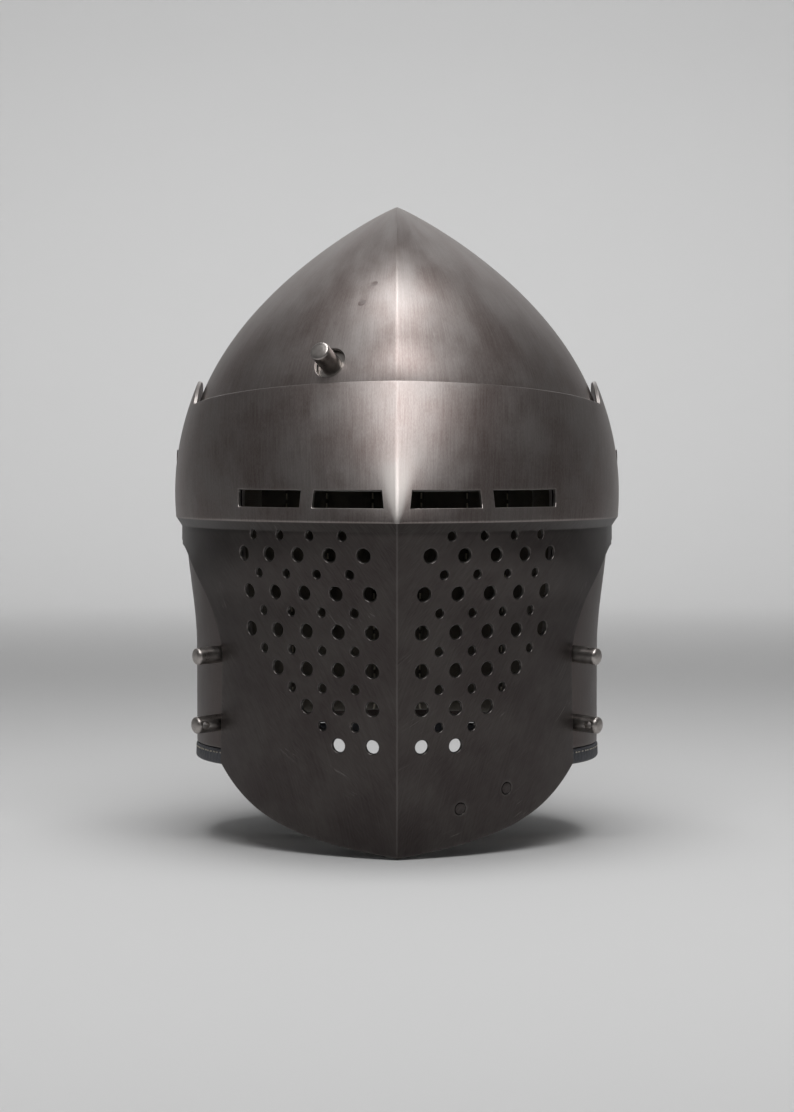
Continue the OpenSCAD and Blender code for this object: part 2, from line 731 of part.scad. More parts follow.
// Point of the liner's inner face behind a point p of its outer face, in channels that fade upwards
function liner_inside(p, groove) = let (
    t = liner_t - groove * (1 - rise(p[2])),
    mid = skull_mid(p[2]),
    k = 1 - t / (skull_w / 2),
    up = apex_z - widest_z
    ) [p[0] * k, mid + (p[1] - mid) * k, p[2] - max(0, p[2] - widest_z) * 1.3 * t / up];

module liner() {
    levels = [for (z = skull_levels(rim_z, rings_low, liner_rings_up)) max(z, rim_z + liner_raise)];
    outer = [for (z = levels) skull_ring(z, plate + liner_gap)];
    inner = [for (ring = outer) [for (i = [0 : len(ring) - 1]) liner_inside(ring[i], quilt * (i % 2))]];
    tip = [0, apex_back, apex_z - 2 * (plate + liner_gap)];
    far = 200;
    color("#cfc8b8") difference() {
        cup(outer, inner, tip, liner_inside(tip, 0));
        across(skull_w + across_spare) {
            face_outline(liner_face);
            translate([-far, -far]) square([far - strap_fore + strap_notch, far - strap_low + notch_rise]);
        }
        on_left() {
            stand_on(latch_p, latch_n) translate([0, 0, -leaf_top - latch_out - 3])
                cylinder(d = flange_d + 5, h = deep_cut, $fn = 24);
            sweep([for (i = [0 : 6]) let (up = mix(-leaf_toe - 5, leaf_rise + 6, i / 6))
                climb(up, 5, leaf_w + 4, leaf_pocket)]);
        }
        for (side = [0, 1]) mirror([side, 0, 0]) pivot_place()
            translate([0, 0, nut_out - pivot_nut_t - 5])
                cylinder(d = pivot_washer_d + 4, h = deep_cut, $fn = 24);
        for (drop = [peg_upper, peg_lower], side = [0, 1])
            peg_place(drop, side) translate([0, 0, -peg_tail - 1.5])
                cylinder(d = peg_d + 6, h = deep_cut / 2, $fn = 24);
    }
}

// Hem: a rolled edge that runs under the skull's lower rim from cheek to cheek
module liner_hem() {
    f = front_arc(rim_z);
    start = skull_angle_y(-face_edge + 4, rim_z);
    back_r = arc_r(f[0], skull_back(rim_z) - f[2]);
    ridge = asin((back_r - f[0]) / back_r);
    right = concat(
        [for (i = [0 : 12]) [mix(start, 90, i / 12), f[1], -1]],
        [for (i = [1 : 11]) [mix(90, ridge, i / 11), back_r, 1]]);
    color("#3a2f2a") sweep(concat(
        [for (q = right) hem_station(q, f, 1)],
        [for (i = [len(right) - 2 : -1 : 0]) hem_station(right[i], f, -1)]));
}

// Ring of the hem's section at a place q = [angle, arc radius, -1 at the front or 1 at the back]
function hem_station(q, f, side) = let (
    in = -plate - hem_in,
    section = [[in + 1, 0], [hem_proud - 0.8, 0], [hem_proud, -0.9], [hem_proud, 1.2 - hem_h],
        [hem_proud - 1.3, -hem_h], [in + 1.3, -hem_h], [in, 1.3 - hem_h], [in, -1]]
    ) [for (p = section) [
        side * ((q[1] + p[0]) * sin(q[0]) - q[1] + f[0]),
        f[2] + q[2] * (q[1] + p[0]) * cos(q[0]),
        rim_z - soft_gap + p[1]]];

// Chin strap: two halves that overlap, with a ball stud through both

strap_z = -strap_low;
strap_a = skull_angle_y(-strap_fore, strap_z);
strap_n = skull_normal(strap_a, strap_z);
strap_gap = 2.4;
strap_p = skull_point(strap_a, strap_z) - strap_n * (plate + strap_gap + strap_t / 2);
strap_head = 6;
// How far the strap runs forward to the chin
strap_lead = 16;
// Places along the strap, in mm from the stud: ends of both halves, and the keeper
stud_angle = -16;
left_end = 14;
right_end = -44;
keeper_at = -32;
stud_neck_d = 4;
layer = strap_t + soft_gap;

module strap_rivet_place(side) {
    mirror([side, 0, 0]) stand_on(skull_point(strap_a, strap_z), strap_n) children();
}

// Middle line of the strap at an angle from -90, under the left rivet, to 90, under the right one
function strap_path(t) = [
    strap_p[0] * sign(t) * pow(abs(sin(t)), 0.8),
    strap_p[1] - strap_lead * pow(cos(t), 2),
    strap_z - strap_head - strap_sag * pow(abs(cos(t)), 0.8)];
strap_rate = norm(strap_path(stud_angle + 1) - strap_path(stud_angle - 1)) / 2;
function strap_angle(s) = stud_angle + s / strap_rate;
function strap_frame(t) = let (
    along = abs(t) > 88 ? [0, 0, sign(t)] : unit(strap_path(t + 1) - strap_path(t - 1)),
    turn = (90 - strap_a) * pow(abs(t) / 90, 2) * sign(t),
    flat = [sin(turn), cos(turn), 0],
    u = unit(flat - along * (flat * along))
    ) [along, u, cross(along, u)];
function strap_ring(t, extra, out) = let (f = strap_frame(t))
    strip(strap_path(t) + [0, 0, extra] - f[2] * out, f[1], f[2], strap_w, strap_t);
// The right half lies under the left one, and comes up level with it past its end
function right_out(t) = layer * (1 - smooth((t - strap_angle(left_end + 4)) / 24));

// Places its children on the strap, s from the stud: +X along it and +Z towards the chin
module strap_place(s) {
    t = strap_angle(s);
    f = strap_frame(t);
    p = strap_path(t);
    multmatrix([
        [f[0][0], f[1][0], f[2][0], p[0]],
        [f[0][1], f[1][1], f[2][1], p[1]],
        [f[0][2], f[1][2], f[2][2], p[2]],
        [0, 0, 0, 1]]) children();
}

module strap_left() {
    end = strap_angle(left_end);
    color("#4a3428") difference() {
        sweep(concat(
            [strap_ring(-90, 2 * strap_head, 0)],
            [for (i = [0 : 16]) strap_ring(mix(-90, end, i / 16), 0, 0)]));
        strap_rivet_place(1) cylinder(d = strap_rivet_d + 2 * fit, h = deep_cut, center = true, $fn = 24);
        strap_place(0) cylinder(d = stud_neck_d + 2 * fit, h = 8, center = true, $fn = 24);
    }
}

module strap_right() {
    end = strap_angle(right_end);
    color("#4a3428") difference() {
        sweep(concat(
            [for (i = [0 : 24]) let (t = mix(end, 90, i / 24)) strap_ring(t, 0, right_out(t))],
            [strap_ring(90, 2 * strap_head, 0)]));
        strap_rivet_place(0) cylinder(d = strap_rivet_d + 2 * fit, h = deep_cut, center = true, $fn = 24);
        for (hole = [-2 : 1]) strap_place(10 * hole + 10) translate([0, 0, -layer])
            cylinder(d = stud_neck_d + 2 * fit, h = 3, center = true, $fn = 24);
    }
}

module strap_rivet(side) {
    head_t = 1.3;
    inner = plate + strap_gap + strap_t + seat + head_t;
    color("#8d8784") strap_rivet_place(side) {
        translate([0, 0, -inner]) cylinder(d = strap_rivet_d, h = inner);
        translate([0, 0, -inner]) cylinder(d1 = strap_rivet_d, d2 = strap_rivet_d + 3, h = head_t);
    }
}

// Ball stud: a flat foot on the chin's side, a neck through both straps and a ball outside
module strap_stud() {
    foot_t = 1.2;
    top = strap_t / 2 + soft_gap;
    ball = -layer - strap_t / 2 - stud_d / 2;
    color("#b08d57") strap_place(0) union() {
        translate([0, 0, top]) cylinder(d = stud_d + 3, h = foot_t);
        translate([0, 0, ball]) cylinder(d = stud_neck_d, h = top + foot_t / 2 - ball);
        translate([0, 0, ball - 0.1]) sphere(d = stud_d);
    }
}

module strap_keeper() {
    wall = 1.4;
    room = strap_t + layer + 3 * soft_gap;
    wide = strap_w + 2 * soft_gap;
    color("#4a3428") strap_place(keeper_at) translate([0, 0, -layer / 2]) difference() {
        cube([7, wide + 2 * wall, room + 2 * wall], center = true);
        cube([8, wide, room], center = true);
    }
}

skull();
visor();
mirror([1, 0, 0]) pivot_pin();  // pivot_pin_left
pivot_pin();  // pivot_pin_right
mirror([1, 0, 0]) pivot_spacer();  // pivot_spacer_left
pivot_spacer();  // pivot_spacer_right
mirror([1, 0, 0]) pivot_washer();  // pivot_washer_left
pivot_washer();  // pivot_washer_right
mirror([1, 0, 0]) pivot_nut();  // pivot_nut_left
pivot_nut();  // pivot_nut_right
latch_pin();
latch_spring();
latch_rivets();
peg(peg_upper, 1, 0);  // peg_upper_left
peg(peg_upper, 0, 0);  // peg_upper_right
peg(peg_lower, 1, 90);  // peg_lower_left
peg(peg_lower, 0, 90);  // peg_lower_right
peg_washers();
chin_rivets();
liner();
liner_hem();
strap_left();
strap_right();
strap_rivet(1);  // strap_rivet_left
strap_rivet(0);  // strap_rivet_right
strap_stud();
strap_keeper();
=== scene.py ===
import math

import bpy
import numpy as np
from mathutils import Matrix, Vector, geometry


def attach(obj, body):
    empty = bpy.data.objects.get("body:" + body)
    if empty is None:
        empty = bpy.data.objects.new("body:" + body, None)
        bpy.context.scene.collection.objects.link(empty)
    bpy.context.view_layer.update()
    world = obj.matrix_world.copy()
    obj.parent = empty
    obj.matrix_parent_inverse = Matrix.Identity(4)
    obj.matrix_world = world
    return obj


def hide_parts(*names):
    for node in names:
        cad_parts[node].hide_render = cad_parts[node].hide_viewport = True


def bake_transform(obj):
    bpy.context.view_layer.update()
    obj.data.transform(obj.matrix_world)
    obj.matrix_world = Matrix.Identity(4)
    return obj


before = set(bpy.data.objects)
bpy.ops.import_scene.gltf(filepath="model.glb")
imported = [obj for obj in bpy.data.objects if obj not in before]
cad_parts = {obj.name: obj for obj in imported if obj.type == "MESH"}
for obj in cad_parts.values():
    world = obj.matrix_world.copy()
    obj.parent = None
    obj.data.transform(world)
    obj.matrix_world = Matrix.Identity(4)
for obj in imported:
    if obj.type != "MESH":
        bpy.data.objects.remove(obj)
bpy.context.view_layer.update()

# Driving sizes in millimetres, the same as the solids'
MM = 0.001
SKULL_W, APEX_Z, APEX_BACK = 218.6, 135.0, 45.0
SKULL_REACH, SKULL_DEPTH = 120.0, 125.0
RIM_Z, WIDEST_Z = -144.4, -10.0
CHEEK_IN, CHEEK_TUCK, NAPE_IN = 5.7, 28.0, 19.0
CHEEK_START, CHEEK_RUN, TUCK_START, TUCK_RUN = 30.0, 65.0, 80.0, 68.0
SKULL_FORE, CHEEK_FORE = 2.0, 3.0
PLATE = 2.0
FACE_TOP, FACE_EDGE, FACE_CORNER = 12.0, 84.0, 30.0
VISOR_ROOM, BROW_ROOM, BEAK_Z = 5.7, 4.3, -28.7
BROW_TOP, BROW_SIDE, BROW_SLOPE, BROW_BACK = 39.4, 28.6, 35.0, 25.0
BROW_BOW, BROW_WIDEST_Z = 0.0037, -16.0
LEDGE_H, LEDGE_IN = 4.5, 3.6
CHIN_DROP, FACE_SLOPE, CORNER_DROP, CORNER_FORE = 191.5, 0.17, 151.0, 60.0
FACE_FLARE, FACE_DEEP, FACE_Z = 5.0, 17.7, -70.0
EAR_R, EAR_BEND_R, EAR_BEND_Z = 41.6, 216.0, -36.0
SWEEP_R, SWEEP_FORE, SWEEP_DROP = 52.0, 20.0, 95.0
SIGHT_H, SIGHT_DROP, SIGHT_INNER, SIGHT_OUTER = 8.3, 17.6, 35.3, 41.4
SIGHT_START, SIGHT_BAR, SIGHT_SLANT = 7.7, 7.6, 1.5
BREATH_LARGE, BREATH_SMALL = 6.8, 4.4
BREATH_PITCH_Z, BREATH_PITCH_S, BREATH_FIRST, BREATH_START = 18.5, 18.3, 44.6, 13.0
BREATH_EVEN, BREATH_SPLAY = 82.0, 4.0
LARGE_IN_ROW, SMALL_IN_ROW = [5, 5, 5, 4, 3, 2], [4, 4, 4, 4, 3, 2]
PIVOT_D, PIVOT_HEAD_D, PIVOT_NUT_ROOM = 8.0, 12.0, 20.0
LATCH_D, LATCH_HOLE_D, LATCH_OUT, LATCH_Z, LATCH_X = 10.0, 16.0, 12.5, 48.2, 32.9
FLANGE_D, FLANGE_T, LEAF_TOP, LEAF_SEAT = 19.0, 1.5, 4.7, 2.8
LEAF_W, LEAF_T, LEAF_RISE, LEAF_TOE = 14.0, 1.2, 44.0, 8.0
LEAF_RIVET_D, LEAF_RIVETS = 4.0, (40.0, 30.0)
PEG_D, PEG_OUT, PEG_HOLE_D, PEG_HOLE_IN, PEG_TAIL = 8.7, 16.5, 4.0, 4.8, 5.1
# Depth below the pivots, place in front of them and turn of the cross hole of each pair of pegs
PEGS = {"upper": (96.0, -63.83, 0), "lower": (131.0, -56.25, 90)}
LINER_T, LINER_GAP, LINER_FACE, LINER_RAISE, QUILT = 20.0, 1.0, 6.0, 7.0, 4.0
NOTCH_BACK, NOTCH_TOP = -22.0, -112.0
HEM_H, HEM_PROUD, HEM_IN, SOFT_GAP = 7.9, 0.6, 2.0, 0.3
STRAP_W, STRAP_T, STRAP_SAG, STRAP_LEAD, STRAP_HEAD = 18.0, 2.4, 44.0, 16.0, 6.0
STRAP_FORE, STRAP_Z, STRAP_GAP = 34.0, -122.0, 2.4
STUD_T, STUD_NECK_D, LEFT_END, RIGHT_END, KEEPER_AT = -16.0, 4.0, 14.0, -44.0, -32.0
STRAP_RIVET_D, CHIN_RIVET_D = 5.0, 6.0
CHIN_RIVETS = [(34.0, 23.0 - CHIN_DROP), (62.0, 31.5 - CHIN_DROP)]


# Camera: straight in front at the pivots' height, tilted down a little

CAMERA_DISTANCE = 1.6
CAMERA_HEIGHT = 0.0057
PHOTO_H, HORIZON_PX, FOCAL_PX = 1112, 450, 3077


def make_camera():
    data = bpy.data.cameras.new("camera")
    data.sensor_width = 36
    data.lens = FOCAL_PX * data.sensor_width / PHOTO_H
    data.clip_start, data.clip_end = 0.05, 20
    camera = bpy.data.objects.new("camera", data)
    bpy.context.scene.collection.objects.link(camera)
    camera.location = (0, -CAMERA_DISTANCE, CAMERA_HEIGHT)
    tilt = math.atan((PHOTO_H / 2 - HORIZON_PX) / FOCAL_PX)
    camera.rotation_euler = (math.pi / 2 - tilt, 0, 0)
    bpy.context.scene.camera = camera


# Shapes of the two shells, for arrays of numbers

def smooth(x):
    s = np.clip(x, 0, 1)
    return s * s * (3 - 2 * s)


def mix(a, b, s):
    return a + (b - a) * s


def arc_r(w, d):
    return (d * d + w * w) / (2 * w)


def rise(z):
    return np.clip((z - WIDEST_Z) / (APEX_Z - WIDEST_Z), 0, 1)


def fall(z):
    return smooth((-CHEEK_START - z) / CHEEK_RUN)


def skull_half(z):
    return SKULL_W / 2 * (1 - rise(z) ** 2.1) ** 0.92 - CHEEK_IN * fall(z)


def skull_mid(z):
    return (APEX_BACK + SKULL_FORE) * rise(z) ** 2.5 - SKULL_FORE - CHEEK_FORE * fall(z)


def skull_front(z):
    return (APEX_BACK * rise(z) ** 2 - SKULL_REACH * (1 - rise(z) ** 3.5) ** 0.75
            + CHEEK_TUCK * smooth((-TUCK_START - z) / TUCK_RUN))


def skull_back(z):
    return APEX_BACK * rise(z) ** 2 + SKULL_DEPTH * (1 - rise(z) ** 2.4) ** 0.8 - NAPE_IN * fall(z)


class Skull:
    """Right half: u is 0 at the front ridge, 1 at the side and 2 at the back ridge; v runs up."""
    U_MM, V_MM, LOW = 165.0, 320.0, 0.42

    def height(self, v):
        up = np.sin(np.clip((v - self.LOW) / (1 - self.LOW), 0, 1) * math.pi / 2)
        return np.where(v < self.LOW, mix(RIM_Z, WIDEST_Z, v / self.LOW), mix(WIDEST_Z, APEX_Z, up))

    def level(self, z):
        up = np.arcsin(np.clip((z - WIDEST_Z) / (APEX_Z - WIDEST_Z), 0, 1)) / (math.pi / 2)
        low = (z - RIM_Z) / (WIDEST_Z - RIM_Z) * self.LOW
        return np.where(z < WIDEST_Z, low, self.LOW + (1 - self.LOW) * up)

    def arcs(self, z):
        w, mid = skull_half(z), skull_mid(z)
        rf, rb = arc_r(w, mid - skull_front(z)), arc_r(w, skull_back(z) - mid)
        return w, mid, rf, rb, np.arcsin((rf - w) / rf), np.arcsin((rb - w) / rb)

    def point(self, p):
        u, z = p[:, 0] / self.U_MM, self.height(p[:, 1] / self.V_MM)
        w, mid, rf, rb, af, ab = self.arcs(z)
        front = u <= 1
        a = np.where(front, mix(af, math.pi / 2, u), mix(math.pi / 2, ab, u - 1))
        r = np.where(front, rf, rb)
        y = mid + np.where(front, -1, 1) * r * np.cos(a)
        return np.stack([r * np.sin(a) - r + w, y, z], 1)

    def place(self, q):
        """Places on the half of points close to its surface."""
        x, y, z = q[:, 0], q[:, 1], q[:, 2]
        w, mid, rf, rb, af, ab = self.arcs(z)
        a = np.arctan2(x + rf - w, mid - y)
        b = np.arctan2(x + rb - w, y - mid)
        front = y <= mid
        u = np.where(front, (a - af) / (math.pi / 2 - af), 2 - (b - ab) / (math.pi / 2 - ab))
        return np.stack([u * self.U_MM, self.level(z) * self.V_MM], 1)

    def ridge(self, p):
        return (p[:, 0] < 1e-6) | (p[:, 0] > 2 * self.U_MM - 1e-6)

    def lines(self, p):
        return plate_lines(self, p)


VISOR_W = SKULL_W + 2 * VISOR_ROOM
BEAK_REACH = BROW_ROOM - float(skull_front(BROW_TOP)) + BROW_SLOPE
LEDGE_Z = BEAK_Z - LEDGE_H


def visor_front(z):
    up = np.clip((z - BEAK_Z) / (BROW_TOP - BEAK_Z), 0, None) ** 1.15
    return np.where(z >= BEAK_Z, BEAK_REACH - BROW_SLOPE * up, np.where(
        z >= LEDGE_Z, BEAK_REACH - LEDGE_IN * (BEAK_Z - z) / LEDGE_H,
        BEAK_REACH - LEDGE_IN - FACE_SLOPE * (LEDGE_Z - z)))


def face_share(z):
    return smooth((-EAR_R - z) / (-EAR_R - FACE_Z))


def visor_half(z):
    brow, under = VISOR_W / 2 - BROW_BOW * (z - BROW_WIDEST_Z) ** 2, VISOR_W / 2 - LEDGE_IN
    return np.where(z >= BEAK_Z, brow, np.where(
        z >= LEDGE_Z, mix(brow, under, (BEAK_Z - z) / LEDGE_H),
        mix(under, VISOR_W / 2 + FACE_FLARE, face_share(z))))


def visor_reach(z):
    return mix(visor_front(z), BEAK_REACH + FACE_DEEP, face_share(z))


class Visor:
    """Right half: u is the distance round the plate from the ridge, v the height, in mm."""

    def arc(self, z):
        half, reach = visor_half(z), visor_reach(z)
        r = arc_r(half, reach)
        return half, r, r - half, reach - visor_front(z), np.arcsin((r - half) / r)

    def curl(self, y, z):
        return y * y / (2 * EAR_BEND_R) * np.clip(1 - z / EAR_BEND_Z, 0, 1.3)

    def point(self, p):
        u, z = p[:, 0], p[:, 1]
        half, r, c, mid, a0 = self.arc(z)
        side = r * (math.pi / 2 - a0)
        a = a0 + np.minimum(u, side) / r
        y = mid - r * np.cos(a) + np.maximum(u - side, 0)
        x = np.where(u <= side, r * np.sin(a) - c, half - self.curl(y, z))
        return np.stack([x, y, z], 1)

    def place(self, q):
        x, y, z = q[:, 0], q[:, 1], q[:, 2]
        _, _, c, mid, _ = self.arc(z)
        return np.stack([self.distance(np.arctan2(x + c, mid - y), y, z), z], 1)

    def from_side(self, y, z):
        """Distance round the plate of the surface point that has this depth and height."""
        _, r, _, mid, _ = self.arc(z)
        return self.distance(np.arccos(np.clip((mid - y) / r, -1, 1)), y, z)

    def distance(self, a, y, z):
        """Distance round the plate, from the angle on its arc or, behind it, from the depth."""
        _, r, _, mid, a0 = self.arc(z)
        return np.where(y <= mid, (a - a0) * r, r * (math.pi / 2 - a0) + y - mid)

    def ridge(self, p):
        return p[:, 0] < 1e-6

    def lines(self, p):
        return plate_lines(self, p)


def unit(vectors, least=1e-9):
    return vectors / np.maximum(np.linalg.norm(vectors, axis=1, keepdims=True), least)


def half_normals(shell, p, step=0.05, by=0.2):
    """Unscaled normals, and which places lie on a ridge; there they are taken beside it."""
    on = shell.ridge(p)
    inside = p.copy()
    inside[on, 0] += np.where(p[on, 0] < 1, by, -by)
    du, dv = np.array([step, 0]), np.array([0, step])
    return np.cross(shell.point(inside + du) - shell.point(inside - du),
                    shell.point(inside + dv) - shell.point(inside - dv)), on


def normals(shell, p):
    """Outward normals of a shell; on a ridge they lie in the middle plane."""
    n, on = half_normals(shell, p)
    n[on, 0] = 0
    return unit(n, 1e-12)


def plate_lines(shell, p):
    """Direction in which a plate's thickness runs inwards; on a ridge, the mitre of both sides."""
    n, on = half_normals(shell, p)
    n = unit(n, 1e-12)
    square = np.maximum(1 - n[:, 0] ** 2, 0.2)
    mitre = np.stack([np.zeros(len(n)), n[:, 1] / square, n[:, 2] / square], 1)
    return np.where(on[:, None], mitre, n)


def inside_polygon(points, polygon):
    x, y = points[:, 0], points[:, 1]
    found = np.zeros(len(points), bool)
    for (x0, y0), (x1, y1) in zip(polygon, np.roll(polygon, -1, 0)):
        if y0 != y1:
            crosses = (y0 > y) != (y1 > y)
            found ^= crosses & (x < (x1 - x0) * (y - y0) / (y1 - y0) + x0)
    return found


def distance_to(points, ring):
    """Distance of points from a closed line."""
    d = np.roll(ring, -1, 0) - ring
    t = ((points[:, None] - ring) * d).sum(-1) / np.maximum((d * d).sum(-1), 1e-12)
    nearest = ring + np.clip(t, 0, 1)[..., None] * d
    return np.linalg.norm(points[:, None] - nearest, axis=-1).min(1)


def inset(loop, distance, closed, rails=()):
    """Loop moved to its left by a distance; ends of an open one slide along their rails."""
    before, after = np.roll(loop, 1, 0), np.roll(loop, -1, 0)
    if not closed:
        before[0], after[-1] = loop[0], loop[-1]
    a, b = unit(loop - before), unit(after - loop)
    way = unit(a + b)
    left = np.stack([-way[:, 1], way[:, 0]], 1)
    along = (left * np.stack([-a[:, 1], a[:, 0]], 1)).sum(1)
    if not closed:
        along[0] = 1
    moved = loop + left * (distance / np.clip(along, 0.5, 1))[:, None]
    for index, rail in rails:
        moved[index] = loop[index] + np.array(rail) * distance
    return moved


class Sheet:
    """Half of a shell as a closed plate: a grid on both faces, walls along edges and holes."""

    def __init__(self, shell, profile, step):
        self.shell, self.profile, self.step = shell, profile, step
        self.places, self.depths, self.wear = np.zeros((0, 2)), np.zeros(0), np.zeros(0)
        self.walls = []

    def add(self, places, depth, wear=0.0):
        """Adds points at a depth under the surface and returns their numbers."""
        first = len(self.places)
        self.places = np.concatenate([self.places, places])
        self.depths = np.concatenate([self.depths, np.full(len(places), float(depth))])
        self.wear = np.concatenate([self.wear, np.zeros(len(places)) + wear])
        return np.arange(first, len(self.places))

    def add_pair(self, places, wear=0.0):
        """The same points on both faces."""
        return tuple(self.add(places, self.profile[k][1], wear) for k in (0, -1))

    def wall(self, loop, closed, rails=(), profile=None):
        """Wall along a loop that has the plate on its left; returns its rings on both faces."""
        rings = [(self.add(inset(loop, i, closed, rails), d, wear), i)
                 for i, d, wear in profile or self.profile]
        self.walls.append((rings, closed))
        return rings[0][0], rings[-1][0]

    def skin(self, outline, holes, rows):
        """Triangles between the wall rings, over a grid and rows of places that stay straight."""
        edge = self.places[outline[0]]
        lo, hi = edge.min(0), edge.max(0)
        us, vs = (np.arange(lo[i], hi[i] + self.step, self.step) for i in (0, 1))
        grid = np.stack(np.meshgrid(us, vs), -1).reshape(-1, 2)
        grid[:, 0] += self.step / 2 * (np.round((grid[:, 1] - lo[1]) / self.step) % 2)
        for row in rows:
            spread = np.ptp(row, 0)
            if spread[1] < 1e-6:
                grid = grid[np.abs(grid[:, 1] - row[0, 1]) > self.step * 0.35]
            if spread[0] < 1e-6:
                grid = grid[np.abs(grid[:, 0] - row[0, 0]) > self.step * 0.45]
        grid = np.concatenate([grid] + list(rows))
        grid = grid[inside_polygon(grid, edge)]
        margin = self.step * 0.35
        for ring in [edge] + [self.places[hole[0]] for hole in holes]:
            lo, hi = ring.min(0) - self.step, ring.max(0) + self.step
            near = np.where((grid > lo).all(1) & (grid < hi).all(1))[0]
            if len(near):
                bad = distance_to(grid[near], ring) < margin
                if ring is not edge:
                    bad |= inside_polygon(grid[near], ring)
                grid = np.delete(grid, near[bad], 0)
        pairs = [outline] + list(holes) + [self.add_pair(grid)]
        numbers = np.concatenate([pair[0] for pair in pairs])
        self.partner = np.zeros(len(self.places), int)
        self.partner[numbers] = np.concatenate([pair[1] for pair in pairs])
        flat = self.places[numbers]
        edges, first = [], 0
        for ring, _ in pairs[:-1]:
            edges += [(first + i, first + (i + 1) % len(ring)) for i in range(len(ring))]
            first += len(ring)
        found = geometry.delaunay_2d_cdt([Vector(p) for p in flat], edges, [], 0, 1e-7)
        source = [origins[0] for origins in found[3]]
        faces = np.array([[source[i] for i in face] for face in found[2]])
        middle = flat[faces].mean(1)
        keep = inside_polygon(middle, edge)
        for ring, _ in pairs[1:-1]:
            ring = self.places[ring]
            near = np.where((middle > ring.min(0)).all(1) & (middle < ring.max(0)).all(1))[0]
            keep[near] &= ~inside_polygon(middle[near], ring)
        faces = numbers[faces[keep]]
        a, b, c = (self.places[faces[:, i]] for i in range(3))
        flip = np.cross(b - a, c - a) < 0
        faces[flip] = faces[flip][:, ::-1]
        self.outer = faces

    def build(self, shape=None):
        """Points in millimetres, faces, corner normals, and each point's place and wear."""
        surface = self.shell.point(self.places)
        depths = self.depths if shape is None else shape(self.places, self.depths, surface)
        points = surface - self.shell.lines(self.places) * depths[:, None]
        points[self.shell.ridge(self.places), 0] = 0
        n = normals(self.shell, self.places)
        inner = self.partner[self.outer][:, ::-1]
        faces = self.outer.tolist() + inner.tolist()
        corners = list(n[self.outer].reshape(-1, 3)) + list(-n[inner].reshape(-1, 3))
        for rings, closed in self.walls:
            for (a, inset_a), (b, inset_b) in zip(rings, rings[1:]):
                ahead = np.roll(points[b], -1, 0) - np.roll(points[b], 1, 0)
                if not closed:
                    ahead[0], ahead[-1] = points[b[1]] - points[b[0]], points[b[-1]] - points[b[-2]]
                out = unit(np.cross(ahead, n[b]))
                top = n[a] if inset_a > inset_b else out
                low = -n[b] if inset_b > inset_a else out
                for i in range(len(a) if closed else len(a) - 1):
                    j = (i + 1) % len(a)
                    faces.append([int(a[i]), int(b[i]), int(b[j]), int(a[j])])
                    corners.extend([top[i], low[i], low[j], top[j]])
        return points, faces, corners, np.column_stack([self.places, self.wear])


def both_halves(right, left):
    """One mesh of a right half and a mirrored left one, joined along the ridges."""
    points, faces, corners, places, known = [], [], [], [], {}
    for side, (p, f, c, q) in ((1, right), (-1, left)):
        number = []
        for (x, y, z), place in zip(p.tolist(), q.tolist()):
            key = (round(y, 3), round(z, 3)) if abs(x) < 1e-6 else None
            if key is None or key not in known:
                if key is not None:
                    known[key] = len(points)
                number.append(len(points))
                points.append((side * x, y, z))
                places.append(place)
            else:
                number.append(known[key])
        first = 0
        for face in f:
            ring = [number[i] for i in face][::side]
            these = [(side * n[0], n[1], n[2]) for n in c[first:first + len(face)]][::side]
            first += len(face)
            if len(set(ring)) == len(ring):
                faces.append(ring)
                corners.extend(these)
    return points, faces, corners, places


# Meshes

UV_PER_MM = 0.01


def mesh_object(name, points, faces, corners=None, places=None, sharp=None):
    """Object of points in millimetres; places hold plate coordinates and, third, the wear."""
    mesh = bpy.data.meshes.new(name)
    mesh.from_pydata([tuple(c * MM for c in p) for p in points], [], faces)
    mesh.polygons.foreach_set("use_smooth", np.ones(len(mesh.polygons), bool))
    if places is not None:
        places = np.array(places, float)
        vertex = np.zeros(len(mesh.loops), int)
        mesh.loops.foreach_get("vertex_index", vertex)
        layer = mesh.uv_layers.new(name="plate")
        layer.data.foreach_set("uv", (places[vertex, :2] * UV_PER_MM).ravel())
        wear = mesh.attributes.new("wear", "FLOAT", "POINT")
        if places.shape[1] > 2:
            wear.data.foreach_set("value", places[:, 2].astype(np.float32))
    if corners is not None:
        mesh.normals_split_custom_set([tuple(n) for n in corners])
    mesh.update()
    if sharp is not None:
        mesh.set_sharp_from_angle(angle=math.radians(sharp))
    obj = bpy.data.objects.new(name, mesh)
    bpy.context.scene.collection.objects.link(obj)
    return obj


def outward(points, faces):
    """Faces of a closed form, turned round if they face inwards."""
    points = np.array([tuple(p) for p in points], float)
    volume = 0.0
    for face in faces:
        a = points[face[0]]
        for i, j in zip(face[1:], face[2:]):
            volume += a @ np.cross(points[i], points[j])
    return faces if volume > 0 else [face[::-1] for face in faces]


def stand_on(p, n):
    """Matrix in millimetres that puts +Z along n and the origin at p, as the solids' own does."""
    n = Vector(n).normalized()
    return (Matrix.Translation(Vector(p)) @ Matrix.Rotation(math.atan2(n.y, n.x), 4, "Z")
            @ Matrix.Rotation(math.acos(max(-1, min(1, n.z))), 4, "Y"))


